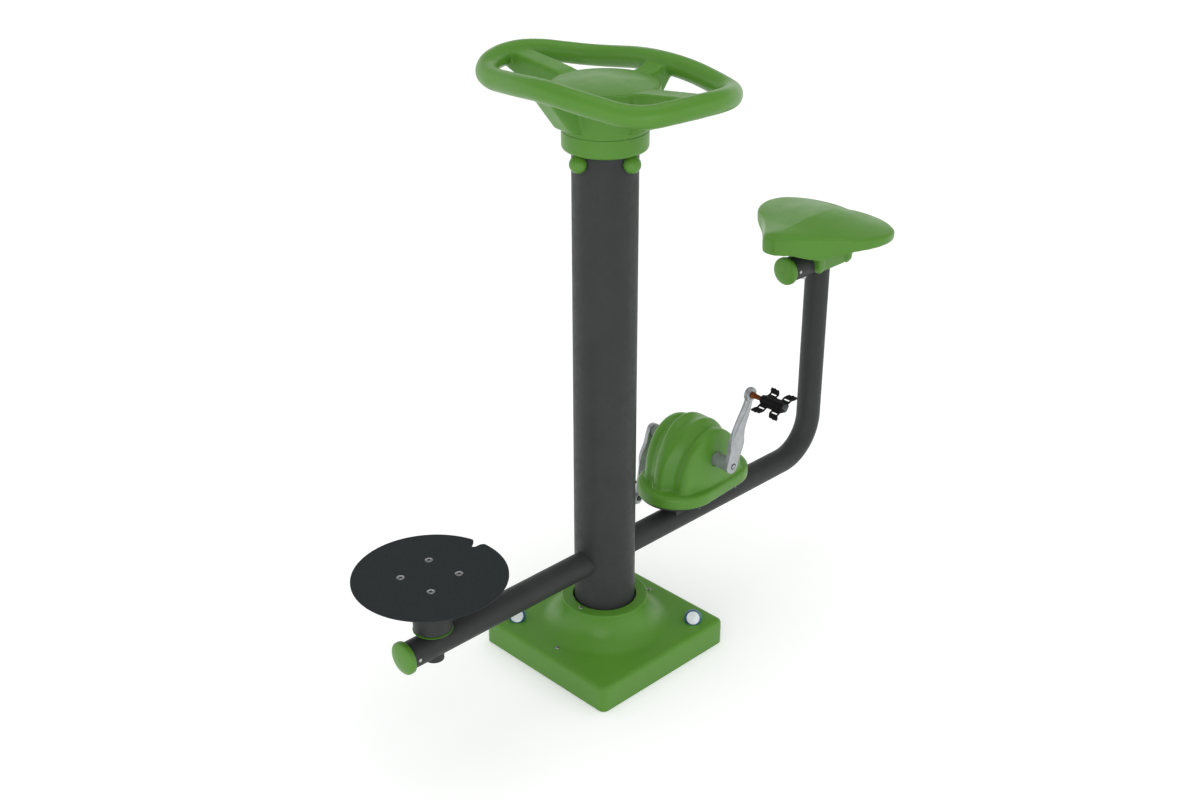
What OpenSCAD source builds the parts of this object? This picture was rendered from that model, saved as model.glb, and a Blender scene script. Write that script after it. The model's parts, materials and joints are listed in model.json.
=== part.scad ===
// Outdoor pedal trainer with a standing twister and a fixed hand wheel.
// Millimetres, +Z up. The origin is on the ground, on the axis of the main post.
// +X runs along the beam towards the saddle, -X towards the twister.

/* [Main post] */
// Outer diameter of the main post tube
post_d = 139.7; // [120:0.1:150]
// Wall thickness of the main post tube
post_wall = 4; // [3:0.5:6]
// Height of the top edge of the post above the ground
post_top_z = 1244; // [1150:1:1300]

/* [Anchor plate] */
// Side of the square anchor plate
plate_side = 300; // [270:1:330]
// Thickness of the anchor plate
plate_t = 12; // [8:1:20]
// Distance between neighbouring anchor bolt holes
anchor_pitch = 220; // [200:1:235]
// Diameter of an anchor bolt hole
anchor_hole_d = 18; // [12:0.5:22]
// Thickness of a gusset between post and plate
gusset_t = 8; // [5:1:12]
// Height of the gussets above the ground
gusset_top_z = 92; // [70:1:100]
// How far a gusset reaches from the post axis
gusset_reach = 132; // [110:1:140]

/* [Base cover] */
// Side of the square base cover
cover_side = 390; // [370:1:430]
// Height of the flat part of the base cover
cover_h = 63; // [55:1:70]
// Wall of the moulded base cover
cover_wall = 4; // [3:0.5:5]
// Radius of the upright corners of the base cover
cover_corner_r = 17; // [14:1:30]
// Radius of the rounding between the top and the sides
cover_fillet_r = 11; // [7:1:13]
// Outer radius of the ring at the top of the bell
ring_r = 97; // [92:1:100]
// Height of the ring at the top of the bell
ring_top_z = 131; // [125:1:136]
// Radial gap between the post and the hole in the ring
ring_gap = 2.8; // [1.5:0.1:5]
// Radius of the concave flare of the bell
flare_r = 59; // [54:1:60]
// Diameter of the base cover screws' shanks
cover_screw_d = 5; // [4:0.5:6]

/* [Arms] */
// Outer diameter of the arm tubes and of the saddle rail
arm_d = 60.3; // [54:0.1:62]
// Wall thickness of the arm tubes
arm_wall = 3; // [2:0.5:4]
// Height of the arms' axis above the ground
arm_z = 243; // [220:1:260]
// Distance from the twister's axis to the open end of its arm
twister_arm_end = 70; // [64:1:90]
// Distance from the post axis to the axis of the saddle upright
upright_x = 734; // [700:1:760]
// Centreline radius of the bend below the saddle
bend_r = 102; // [80:1:130]
// Height of the saddle rail's axis above the ground
rail_z = 770; // [700:1:800]
// Distance from the upright's axis forward to the front end of the rail
rail_front = 115; // [105:1:130]
// Distance from the upright's axis back to the rear end of the rail
rail_rear = 84; // [82:1:96]
// Radius of the domed tube caps
cap_r = 36; // [32:0.5:40]
// Height of the dome of a tube cap
cap_dome_h = 9; // [5:0.5:14]

/* [Saddle] */
// Length of the saddle from nose to tail
saddle_l = 307; // [280:1:330]
// Greatest width of the saddle
saddle_w = 362; // [320:1:380]
// Distance from the upright's axis forward to the nose
saddle_nose = 195; // [185:1:205]
// Height of the saddle's edge above the rail's axis
saddle_rise = 100; // [88:1:115]
// Greatest depth of the saddle's skirt
saddle_depth = 55; // [45:1:60]
// Height of the centre ridge above the saddle's edge
saddle_ridge = 18; // [4:1:22]
// Wall of the moulded saddle
saddle_wall = 8; // [6:1:10]

/* [Pedal drive] */
// Distance from the post axis to the crank axle
crank_x = 290; // [286:1:296]
// Height of the crank axle above the ground
crank_z = 410; // [400:1:420]
// Length of a crank between its two axes
crank_len = 177; // [160:1:182]
// Lean of the near crank from upright, towards the saddle
crank_lean = 16.5; // [0:0.5:60]
// Distance from the centre plane to the middle of a crank
crank_y = 130; // [126:1:136]
// Thickness of a crank
crank_t = 16; // [12:1:18]
// Radius of the crank axle
axle_r = 10; // [8:0.5:11]
// Radius of the grey sleeves between the drive cover and the cranks
sleeve_r = 20; // [17:0.5:22]
// Radius of the resistance flywheel on the axle
flywheel_r = 60; // [50:1:66]
// Thickness of the flywheel's rim
flywheel_t = 14; // [10:1:18]
// Distance from the middle of a crank to the middle of its pedal
pedal_out = 71; // [70:1:84]
// Half the length of a pedal between its claws, across the spindle
pedal_reach = 37; // [34:1:44]
// Half the width of a pedal along its spindle
pedal_half_w = 35; // [34:1:40]

/* [Drive cover] */
// Height of the underside of the drive cover's flange
flange_z = 312; // [306:1:316]
// Height of the drive cover's flange
flange_h = 30; // [26:1:34]
// Distance from the post axis to the wide end's centre
flange_wide_x = 241.5; // [236:0.5:246]
// Radius of the flange's wide end
flange_wide_r = 94; // [90:1:98]
// Distance from the post axis to the narrow end's centre
flange_narrow_x = 367; // [360:1:374]
// Radius of the flange's narrow end
flange_narrow_r = 86; // [82:1:90]
// Height of the dome above the top of the flange
dome_h = 150; // [145:1:160]
// Half the length of the dome at its middle
dome_half_l = 122; // [116:1:124]
// Half the width of the dome
dome_half_w = 80; // [77:1:84]
// Wall of the moulded drive cover
drive_wall = 4; // [3:0.5:5]

/* [Hand wheel] */
// Height of the rim's centreline above the top of the collar
rim_rise = 108; // [95:1:125]
// Diameter of the rim
rim_d = 46; // [38:1:50]
// Half the reach of the rim's centreline along X
wheel_reach_x = 167; // [160:1:185]
// Half the reach of the rim's centreline along Y
wheel_reach_y = 276; // [240:1:290]
// How far the rim's corners droop below the webs
rim_droop = 18; // [0:1:22]
// Radius of the collar at the top of the post
collar_r = 90; // [87:0.5:96]
// Height of the collar
collar_h = 40; // [30:1:50]
// Radius of the round hub cap
hub_cap_r = 106; // [100:1:110]
// Height of the hub above the top of the collar
hub_h = 96; // [84:1:99]
// Width of a web between hub and rim
web_w = 50; // [40:1:56]
// Distance from the top of the post down to the four bolts that clamp the wheel's spigot
wheel_bolt_drop = 52; // [48:1:64]
// Radius of the round bolt caps
bolt_cap_r = 18.5; // [16:0.5:20]

/* [Twister] */
// Distance from the post axis to the twister's axis
twister_x = 505; // [480:1:515]
// Radius of the standing disc
disc_r = 163; // [140:1:175]
// Thickness of the standing disc
disc_t = 8; // [5:1:10]
// Height of the top of the standing disc
disc_top_z = 410; // [400:1:430]
// Radius of the turning hub
hub_r = 41.5; // [40:0.5:46]
// Pitch circle diameter of the disc screws
disc_screw_pcd = 120; // [100:1:126]
// Turn of the disc's screw pattern from +X
disc_turn = 53; // [0:1:90]
// Radius of the boss that is welded through the arm
boss_r = 21; // [19:0.5:24]
// Height of the boss's lower end above the ground
boss_bottom_z = 205; // [198:1:208]
// Radius of the fixed spindle
spindle_r = 15; // [13:0.5:16]

/* [Fits] */
// Radial gap where a fixed piece slips into another
seat_gap = 0.2; // [0.1:0.05:0.3]
// Radial running clearance of a turning piece
run_gap = 0.05; // [0.03:0.01:0.09]
// Gap between the faces of pieces that turn past each other
side_gap = 0.5; // [0.3:0.1:0.8]

/* [Hidden] */
$fn = 96;

// Overrun of every cut past the face that it opens
over = 1;
// Number of sides of a circle that is hulled
hull_sides = 32;
// Number of steps in the arc of a dome's section
dome_steps = 7;

// Colours
green = [0.33, 0.55, 0.22];
steel_dark = [0.2, 0.21, 0.21];
disc_black = [0.13, 0.15, 0.15];
zinc = [0.72, 0.73, 0.75];
alloy = [0.62, 0.64, 0.66];
sleeve_grey = [0.38, 0.43, 0.46];
brass = [0.76, 0.6, 0.32];
copper = [0.72, 0.42, 0.26];
pedal_black = [0.06, 0.06, 0.06];

// Post and arms
twister_arm_len = twister_x + twister_arm_end;
post_r = post_d / 2;
post_bore_r = post_r - post_wall;
arm_r = arm_d / 2;
arm_bore_r = arm_r - arm_wall;
// How deep a butted tube starts inside the tube it is coped to
cope_in = 12;
bend_start_x = upright_x - bend_r;
bend_top_z = arm_z + bend_r;
rail_front_x = upright_x - rail_front;
rail_rear_x = upright_x + rail_rear;

// Tube caps
cap_flange_t = 5;
cap_plug_l = 24;
rivet_in = 11;
rivet_r = 2.4;
rivet_head_r = 4.5;
rivet_head_h = 1.8;
rivet_depth = 8;

// Base cover
cover_half = cover_side / 2;
ring_fillet_r = 5;
ring_hole_r = post_r + ring_gap;
flare_cz = ring_top_z - ring_fillet_r;
// Angle at which the flare leaves its circle for the foot
flare_end = 12;
flare_foot_w = 8;
// The seam runs beside the screws, so that each passes through one half and the other's tab
seam_y = -9;
seam_gap = 0.3;
tab_w = 24;
tab_t = 4;
tab_reach = 12;
tab_root = 8;
// Lip inside the ring that locates the cover on the post
lip_drop = 14;
lip_t = 5;
flat_screw_x = 157;
ring_screw_x = (ring_hole_r + ring_r) / 2 - 3;
screw_head_r = 4.8;
screw_head_h = 2.6;
screw_l = 9;

// Saddle
saddle_x0 = upright_x - saddle_nose;
saddle_edge_z = rail_z + saddle_rise;
// Half outline of the saddle: share of the length, share of half the width
saddle_outline_shares = [
    [0, 0], [0.012, 0.1], [0.055, 0.17], [0.125, 0.25], [0.24, 0.415], [0.355, 0.61],
    [0.44, 0.81], [0.52, 0.91], [0.6, 0.97], [0.69, 1], [0.77, 0.985], [0.845, 0.93],
    [0.9, 0.82], [0.95, 0.67], [0.985, 0.48], [1, 0.24], [0.992, 0.07], [0.978, 0]
];
// Skirt depth along the saddle: share of the length, share of the greatest depth
skirt_shares = [
    [0, 0.7], [0.12, 0.76], [0.21, 0.92], [0.3, 1], [0.36, 0.84], [0.44, 0.56],
    [0.53, 0.47], [0.7, 0.4], [1, 0.38]
];
// Rings of the saddle's top: share of the way from its middle to the outline
saddle_top_shares = [0.3, 0.55, 0.76, 0.88, 0.945];
saddle_mid_share = 0.58;
saddle_round = 9;
claw_half = 48;
claw_web_half = 40;
claw_low = 20;
claw_l = 28;
claw_front_x = upright_x - 54;
claw_rear_x = upright_x + 53;
claw_nose = 26;
claw_round = 10;
saddle_bolt_r = 4;
saddle_bolt_x = [-56, 54];
saddle_bolt_in = 32;
insert_r = 7;
insert_l = 22;
bolt_head_h = 6;
bolt_head_r = 7;
washer_r = 9;
washer_t = 2;

// Pedal drive
bracket_t = 6;
bracket_inset = 5;
web_foot_y = 18;
web_foot_t = 6;
web_foot_l = 150;
cheek_y = 40;
cheek_t = 8;
cheek_w = 84;
housing_r = 26;
housing_end_y = 74;
bearing_w = 12;
bearing_r = 21;
bearing_in_r = axle_r + 3.5;
bearing_y = housing_end_y - bearing_w;
press_gap = 0.03;
axle_end_y = crank_y + crank_t / 2;
crank_in_y = crank_y - crank_t / 2;
flywheel_hub_r = 20;
flywheel_web_t = 6;
flywheel_rim_w = 14;
flywheel_hub_t = 30;
crank_root_r = 14.5;
crank_wide_r = 20;
crank_wide_at_share = 0.34;
crank_neck_r = 7.5;
crank_neck_at_share = 0.88;
crank_eye_r = 15;
crank_bevel = 2.5;
eye_bore_r = 7;
crank_bolt_r = 4;
crank_bolt_l = 20;
crank_bolt_head_r = 6.5;
crank_bolt_head_h = 3;

// Pedals
pedal_y = crank_y + pedal_out;
spindle_flange_r = 9;
spindle_flange_t = 5;
pedal_spindle_r = 6;
barrel_r = 11.5;
barrel_in_y = pedal_y - pedal_half_w;
barrel_out_y = pedal_y + pedal_half_w - 6;
bush_r = 8.5;
dust_cap_r = 9.5;
dust_cap_t = 6;
cage_t = 3.5;
cage_h = 12;
cage_strut_h = 5;
cage_half = 22;
claw_t = 5;
claw_w = 23;
claw_h = 26;
tooth_h = 5;
pedal_tilt = 23;

// Drive cover
dome_z = flange_z + flange_h;
flange_fillet_r = 8;
arch_steps = 22;
// Arches of the dome from the middle to a side: shares of the half width, length and height
arch_shares = [
    [0.06, 1, 1], [0.15, 0.975, 1], [0.3, 0.89, 0.99], [0.42, 0.84, 0.945],
    [0.55, 0.828, 0.89], [0.675, 0.875, 0.895], [0.8, 0.9, 0.895], [0.91, 0.85, 0.86],
    [0.97, 0.7, 0.74], [1, 0.5, 0.52]
];
dome_x = crank_x;
sleeve_hole_r = sleeve_r + 2;
boss_peg_r = 6;
// Places of the drive cover's bosses, from the crank axle: along X and across
boss_peg_places = [[-62, 84], [72, 79]];
boss_peg_l = 28;
drive_screw_r = 2.5;
drive_screw_l = 18;

// Hand wheel
rim_r = rim_d / 2;
rim_sides = 12;
rim_steps = 3;
// Half path of the rim from -X to +X: shares of the two reaches and of the corners' droop
rim_path_shares = [
    [-0.99, 0, 0], [-0.955, 0.25, 0.25], [-0.885, 0.47, 0.6], [-0.81, 0.67, 0.86],
    [-0.68, 0.83, 0.76], [-0.46, 0.935, 0.32], [-0.16, 0.99, 0.08], [0.145, 0.997, 0.12],
    [0.41, 0.95, 0.36], [0.62, 0.87, 0.7], [0.82, 0.76, 1], [0.925, 0.625, 0.98],
    [0.98, 0.47, 0.75], [1.005, 0.315, 0.46], [1.005, 0.16, 0.24], [0.99, 0, 0.12]
];
spigot_flange_t = 6;
seam_z = post_top_z + spigot_flange_t;
rim_z = seam_z + rim_rise;
hub_top_z = seam_z + hub_h;
wheel_bolt_z = post_top_z - wheel_bolt_drop;
spigot_r = post_bore_r - seat_gap;
spigot_wall = 5;
spigot_l = 100;
spigot_flange_r = 84;
spigot_hole_r = 26;
collar_fillet_r = 9;
hub_neck_h = 12;
hub_rim_r = hub_cap_r + 6;
hub_edge_h = 14;
hub_recess_r = hub_cap_r - 8;
hub_recess_h = 6;
hub_dome_h = 7;
hub_wall = 9;
hub_floor_t = 14;
hub_boss_r = 13;
web_root_r = 70;
web_in_share = 0.42;
web_knee_r = 120;
web_knee_h = 22;
web_foot_h = 12;
web_out_drop = 9;
wheel_screw_r = 5;
wheel_screw_pcr = 48;
wheel_screw_in = 30;
wheel_bolt_r = 5;
wheel_bolt_head_r = 8.5;
wheel_bolt_head_h = 7;
cap_out = 7;

// Twister
twister_cx = -twister_x;
ring_t = 4.5;
ring_seat_z = arm_z + arm_r + 7;
hub_bottom_z = ring_seat_z + ring_t + side_gap;
hub_top = disc_top_z - disc_t;
hub_flange_r = disc_screw_pcd / 2 + 14;
hub_flange_t = 6;
t_bearing_w = 16;
t_bearing_r = 31;
t_inner_r = spindle_r + 4;
t_low_z = hub_bottom_z + 6;
t_high_z = hub_top - hub_flange_t - 12 - t_bearing_w;
spindle_shoulder_r = spindle_r + 3;
nut_r = 22;
nut_h = 10;
disc_screw_r = 4;
disc_screw_head_r = 8;
disc_screw_head_h = 4.4;
disc_screw_l = 12;
hex_r = 2.9;
hex_depth = 3;
notch_depth = 19;
notch_w = 15;
notch_tip_r = 3;
notch_turn = 11;
disc_edge = 1;

// A tube along X from x0 to x1
module tube_x(x0, x1, r, wall) {
    translate([x0, 0, 0]) rotate([0, 90, 0]) difference() {
        cylinder(r = r, h = x1 - x0);
        translate([0, 0, -over]) cylinder(r = r - wall, h = x1 - x0 + 2 * over);
    }
}

// The same shape at -X and +X
module both_ways() {
    children();
    mirror([1, 0, 0]) children();
}

// The same shape at -Y and +Y
module both_sides() {
    children();
    mirror([0, 1, 0]) children();
}

// A ring between two radii, standing on z = 0
module ring(r_out, r_in, h) {
    difference() {
        cylinder(r = r_out, h = h);
        translate([0, 0, -over]) cylinder(r = r_in, h = h + 2 * over);
    }
}

// Turns a shape drawn along +Z so that it points to -Y
module to_near() {
    rotate([90, 0, 0]) children();
}

// A dome of a given base radius and height, standing on z = 0
module dome(r, h) {
    ball_r = (r * r + h * h) / (2 * h);
    reach = asin(r / ball_r);
    rotate_extrude() polygon(concat([[0, 0]], [for (k = [0 : dome_steps])
        let (a = reach * (1 - k / dome_steps)) [ball_r * sin(a), h - ball_r * (1 - cos(a))]]));
}

// Anchor plate with its four anchor bolt holes
module anchor_plate() {
    color(steel_dark) difference() {
        linear_extrude(plate_t) square(plate_side, center = true);
        for (sx = [-1, 1], sy = [-1, 1])
            translate([sx * anchor_pitch / 2, sy * anchor_pitch / 2, -over])
                cylinder(d = anchor_hole_d, h = plate_t + 2 * over);
    }
}

module main_post() {
    color(steel_dark) difference() {
        translate([0, 0, plate_t]) ring(post_r, post_bore_r, post_top_z - plate_t);
        for (turn = [0, 90, 180, 270])
            rotate([0, 0, turn]) translate([0, 0, wheel_bolt_z]) rotate([0, 90, 0])
                cylinder(r = wheel_bolt_r + seat_gap, h = post_r + over);
    }
}

// Four upright gussets welded between the post and the plate
module post_gussets() {
    toe = plate_t * 2;
    shoulder = post_r + gusset_t;
    color(steel_dark) difference() {
        for (turn = [0, 90, 180, 270])
            rotate([0, 0, turn]) rotate([90, 0, 0]) linear_extrude(gusset_t, center = true)
                polygon([[post_bore_r, plate_t], [gusset_reach, plate_t], [gusset_reach, toe],
                    [shoulder, gusset_top_z], [post_bore_r, gusset_top_z]]);
        cylinder(r = post_r, h = gusset_top_z + over);
    }
}

// One corner of the base cover's slab, drawn in by an inset
module cover_corner(inset) {
    cylinder(r = cover_corner_r - inset, h = cover_h - cover_fillet_r, $fn = hull_sides);
    translate([0, 0, cover_h - cover_fillet_r])
        rotate_extrude($fn = hull_sides) translate([cover_corner_r - cover_fillet_r, 0])
            intersection() {
                circle(r = cover_fillet_r - inset, $fn = hull_sides);
                square(cover_fillet_r);
            }
}

// The slab of the base cover, drawn in by an inset
module cover_slab(inset) {
    corner = cover_half - cover_corner_r;
    hull()
        for (sx = [-1, 1], sy = [-1, 1])
            translate([sx * corner, sy * corner, 0]) cover_corner(inset);
}

// Half section of the bell round the post, drawn in by an inset
module bell_section(inset) {
    cx = ring_r + flare_r;
    mid_x = cx - flare_r * sin(flare_end);
    mid_z = flare_cz - flare_r * cos(flare_end);
    top_z = ring_top_z - inset;
    difference() {
        polygon([[0, inset], [mid_x + flare_foot_w, cover_h - cover_wall - inset],
            [mid_x, mid_z - inset], [mid_x, top_z], [0, top_z]]);
        translate([cx, flare_cz]) circle(r = flare_r + inset);
        translate([ring_r - inset, flare_cz]) square([flare_r, ring_top_z]);
        difference() {
            translate([ring_r - ring_fillet_r, ring_top_z - ring_fillet_r])
                square(ring_fillet_r + over);
            translate([ring_r - ring_fillet_r, ring_top_z - ring_fillet_r])
                circle(r = ring_fillet_r - inset);
        }
    }
}

// The whole moulded base cover before it is split
module cover_shell() {
    difference() {
        union() {
            cover_slab(0);
            rotate_extrude() bell_section(0);
        }
        translate([0, 0, -over]) {
            intersection() {
                translate([0, 0, over]) cover_slab(cover_wall);
                cylinder(r = cover_side, h = cover_h - cover_wall + over);
            }
            linear_extrude(over * 2) square(cover_side - 2 * cover_wall - over, center = true);
        }
        rotate_extrude() bell_section(cover_wall);
        cylinder(r = ring_hole_r, h = ring_top_z + over);
    }
    rotate_extrude() difference() {
        translate([post_r + seat_gap, 0]) square([ring_r - post_r, ring_top_z - lip_drop + lip_t]);
        square([cover_side, ring_top_z - lip_drop]);
        translate([ring_r - cover_wall, 0]) square([cover_side, ring_top_z]);
    }
    rotate_extrude() difference() {
        translate([ring_hole_r, ring_top_z - lip_drop])
            square([ring_r - ring_hole_r - cover_wall, lip_drop - cover_wall / 2]);
        translate([ring_hole_r + lip_t, 0]) square([ring_r, ring_top_z]);
    }
}

// Places of the base cover's screws: x and the height of the face under the head
cover_screw_places = [
    [-flat_screw_x, cover_h], [-ring_screw_x, ring_top_z],
    [ring_screw_x, ring_top_z], [flat_screw_x, cover_h]
];

// Tongues of the front half that reach under the rear half, grown by a gap
module cover_tongues(gap) {
    for (place = cover_screw_places)
        translate([place[0] - tab_w / 2 - gap, seam_y - tab_root,
            place[1] - cover_wall - tab_t - seat_gap - gap])
            cube([tab_w + 2 * gap, tab_root + tab_reach - seam_y + gap, tab_t + 2 * gap]);
}

module base_cover_front() {
    color(green) difference() {
        union() {
            intersection() {
                cover_shell();
                translate([-cover_side, seam_y - seam_gap - 2 * cover_side, -over])
                    cube([2 * cover_side, 2 * cover_side, 2 * cover_side]);
            }
            cover_tongues(0);
            for (place = cover_screw_places)
                translate([place[0] - tab_w / 2, seam_y - tab_root,
                    place[1] - cover_wall - tab_t - seat_gap])
                    cube([tab_w, tab_root - 2 * seam_gap, tab_t + cover_wall / 2]);
        }
        cylinder(r = post_r + seat_gap, h = ring_top_z + over);
        for (place = cover_screw_places)
            translate([place[0], 0, place[1] - screw_l - cover_wall])
                cylinder(d = cover_screw_d + 2 * seat_gap, h = screw_l + 2 * cover_wall);
    }
}

module base_cover_rear() {
    color(green) difference() {
        intersection() {
            cover_shell();
            translate([-cover_side, seam_y, -over])
                cube([2 * cover_side, 2 * cover_side, 2 * cover_side]);
        }
        cover_tongues(seat_gap);
        for (place = cover_screw_places)
            translate([place[0], 0, place[1] - screw_l])
                cylinder(d = cover_screw_d + 2 * seat_gap, h = screw_l + over);
    }
}

module base_cover_screws() {
    color(zinc)
        for (place = cover_screw_places)
            translate([place[0], 0, place[1]]) difference() {
                union() {
                    dome(screw_head_r, screw_head_h);
                    translate([0, 0, -screw_l]) cylinder(d = cover_screw_d, h = screw_l);
                }
                translate([0, 0, screw_head_h / 2]) cylinder(r = screw_head_r / 3, h = screw_head_h, $fn = 6);
            }
}

// The twister arm ends square in the open and is coped to the post
module twister_arm() {
    color(steel_dark) difference() {
        translate([0, 0, arm_z]) tube_x(-twister_arm_len, cope_in - post_r, arm_r, arm_wall);
        cylinder(r = post_r, h = post_top_z);
        translate([twister_cx, 0, boss_bottom_z])
            cylinder(r = boss_r + press_gap, h = 2 * arm_d);
        translate([-twister_arm_len + rivet_in, 0, arm_z]) rivet_hole();
    }
}

// Beam, bend and upright as one bent tube of radius r
module seat_arm_core(r, past) {
    translate([0, 0, arm_z]) rotate([0, 90, 0]) translate([0, 0, post_r - cope_in - past])
        cylinder(r = r, h = bend_start_x - post_r + cope_in + past);
    translate([bend_start_x, 0, bend_top_z]) rotate([90, 0, 0])
        rotate([0, 0, -90]) rotate_extrude(angle = 90) translate([bend_r, 0]) circle(r = r);
    translate([upright_x, 0, bend_top_z]) cylinder(r = r, h = rail_z - bend_top_z + past);
}

module seat_arm() {
    color(steel_dark) difference() {
        seat_arm_core(arm_r, 0);
        seat_arm_core(arm_bore_r, over);
        cylinder(r = post_r, h = post_top_z);
        translate([rail_front_x, 0, rail_z]) rotate([0, 90, 0])
            cylinder(r = arm_r, h = rail_front + rail_rear);
    }
}

module seat_rail() {
    color(steel_dark) difference() {
        translate([0, 0, rail_z]) tube_x(rail_front_x, rail_rear_x, arm_r, arm_wall);
        for (dx = saddle_bolt_x)
            translate([upright_x + dx, 0, rail_z - arm_d])
                cylinder(r = saddle_bolt_r + seat_gap, h = 2 * arm_d);
        translate([rail_front_x + rivet_in, 0, rail_z]) rivet_hole();
        translate([rail_rear_x - rivet_in, 0, rail_z]) rotate([90, 0, 0]) rivet_hole();
    }
}

// A rivet hole through the near wall of a tube along X
module rivet_hole() {
    to_near() cylinder(r = rivet_r + seat_gap, h = arm_d);
}

// A domed tube cap: the tube's open end is at z = 0 and the cap points to +Z
module tube_cap() {
    difference() {
        union() {
            translate([0, 0, -cap_plug_l]) cylinder(r = arm_bore_r - seat_gap, h = cap_plug_l);
            cylinder(r = cap_r, h = cap_flange_t);
            translate([0, 0, cap_flange_t]) dome(cap_r, cap_dome_h);
        }
        translate([0, 0, -cap_plug_l - over]) cylinder(r = arm_bore_r / 2, h = cap_plug_l);
        translate([0, 0, -rivet_in]) rotate([90, 0, 0])
            cylinder(r = rivet_r + seat_gap, h = arm_r);
    }
}

module arm_end_cap() {
    color(green) translate([-twister_arm_len, 0, arm_z]) rotate([0, -90, 0]) tube_cap();
}

module rail_end_caps() {
    color(green) {
        translate([rail_front_x, 0, rail_z]) rotate([0, -90, 0]) tube_cap();
        translate([rail_rear_x, 0, rail_z]) rotate([0, 90, 0]) rotate([0, 0, 90]) tube_cap();
    }
}

// A dome-head rivet through a tube's near wall into the cap's plug
module rivet() {
    to_near() {
        translate([0, 0, arm_r - rivet_depth]) cylinder(r = rivet_r, h = rivet_depth);
        translate([0, 0, arm_r]) dome(rivet_head_r, rivet_head_h);
    }
}

module cap_rivets() {
    color(zinc) {
        translate([-twister_arm_len + rivet_in, 0, arm_z]) rivet();
        translate([rail_front_x + rivet_in, 0, rail_z]) rivet();
        translate([rail_rear_x - rivet_in, 0, rail_z]) rotate([90, 0, 0]) rivet();
    }
}

// One point of a closed Catmull-Rom curve through pts, between points i and i + 1
function curve_point(pts, i, t) =
    let (n = len(pts), a = pts[(i + n - 1) % n], b = pts[i % n], c = pts[(i + 1) % n],
        d = pts[(i + 2) % n])
    0.5 * (2 * b + (c - a) * t + (2 * a - 5 * b + 4 * c - d) * t * t
        + (3 * b - a - 3 * c + d) * t * t * t);

function closed_curve(pts, steps) =
    [for (i = [0 : len(pts) - 1], k = [0 : steps - 1]) curve_point(pts, i, k / steps)];

// A half outline from the centre line and back, mirrored into a closed one
function mirrored(half) = concat(half, [for (i = [len(half) - 2 : -1 : 1])
    [for (k = [0 : len(half[i]) - 1]) k == 1 ? -half[i][k] : half[i][k]]]);

// The two triangles of a face with corners a, b, c, d
function two(a, b, c, d) = [[a, b, c], [a, c, d]];

// Faces of a stack of rings of n points, each ring clockwise from above, from the top one down
// to the last, closed by the two points that follow them
function skin_faces(rings, n) = concat(
    [for (k = [0 : rings - 2], j = [0 : n - 1])
        each two(k * n + j, (k + 1) * n + j, (k + 1) * n + (j + 1) % n, k * n + (j + 1) % n)],
    [for (j = [0 : n - 1]) [rings * n, j, (j + 1) % n]],
    [for (j = [0 : n - 1]) [rings * n + 1, (rings - 1) * n + (j + 1) % n, (rings - 1) * n + j]]);

saddle_outline = closed_curve(mirrored([for (p = saddle_outline_shares)
    [p[0] * saddle_l, p[1] * saddle_w / 2]]), 2);
saddle_mid = [saddle_mid_share * saddle_l, 0];

function skirt_at(x) = saddle_depth * lookup(x / saddle_l, skirt_shares);

// One ring of the saddle's skin: share of the outline, and the height of each point
function saddle_ring(share, in, z_list) =
    [for (i = [0 : len(saddle_outline) - 1])
        let (p = saddle_outline[i], d = p - saddle_mid, k = share - in / norm(d),
            q = saddle_mid + k * d)
        [q[0], q[1], z_list[i]]];

// Skin of the saddle: top rings from the ridge to the edge, skirt, lip and hollow underside
module saddle_skin() {
    n = len(saddle_outline);
    flat = [for (p = saddle_outline) 0];
    skirt = [for (p = saddle_outline) -skirt_at(p[0])];
    // Height of the ridge above a point: full on the centre line and nothing at the edge
    rise = function (share) [for (p = saddle_outline)
        saddle_ridge * (1 - pow(share, 1.6))];
    rings = concat(
        [for (s = saddle_top_shares) saddle_ring(s, 0, rise(s))],
        [saddle_ring(1, saddle_round * 0.3, -0.3 * saddle_round * [for (p = flat) 1])],
        [saddle_ring(1, 0, -saddle_round * [for (p = flat) 1])],
        [saddle_ring(1, 0, 0.6 * skirt)],
        [saddle_ring(1, saddle_round * 0.25, skirt)],
        [saddle_ring(1, saddle_wall, skirt)],
        [saddle_ring(1, saddle_wall * 1.4, -saddle_wall * 1.6 * [for (p = flat) 1])],
        [saddle_ring(0.45, 0, -saddle_wall * 1.1 * [for (p = flat) 1])]
    );
    points = concat([for (r = rings) each r],
        [[saddle_mid[0], 0, saddle_ridge], [saddle_mid[0], 0, -saddle_wall]]);
    translate([saddle_x0, 0, saddle_edge_z])
        polyhedron(points = points, faces = skin_faces(len(rings), n));
}

// Section across the rail of the claws that straddle it
module claw_section(half) {
    top = saddle_rise - saddle_wall * 1.2;
    difference() {
        polygon([[-half, top], [-half, claw_round - claw_low], [claw_round - half, -claw_low],
            [half - claw_round, -claw_low], [half, claw_round - claw_low], [half, top]]);
        circle(r = arm_r + seat_gap);
        translate([-arm_r - seat_gap, -2 * arm_r]) square([2 * (arm_r + seat_gap), 2 * arm_r]);
    }
}

// A stretch of the claw block between two places along the rail
module claw_block(x0, x1, half) {
    translate([x0, 0, rail_z]) rotate([90, 0, 90]) linear_extrude(x1 - x0) claw_section(half);
}

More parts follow.
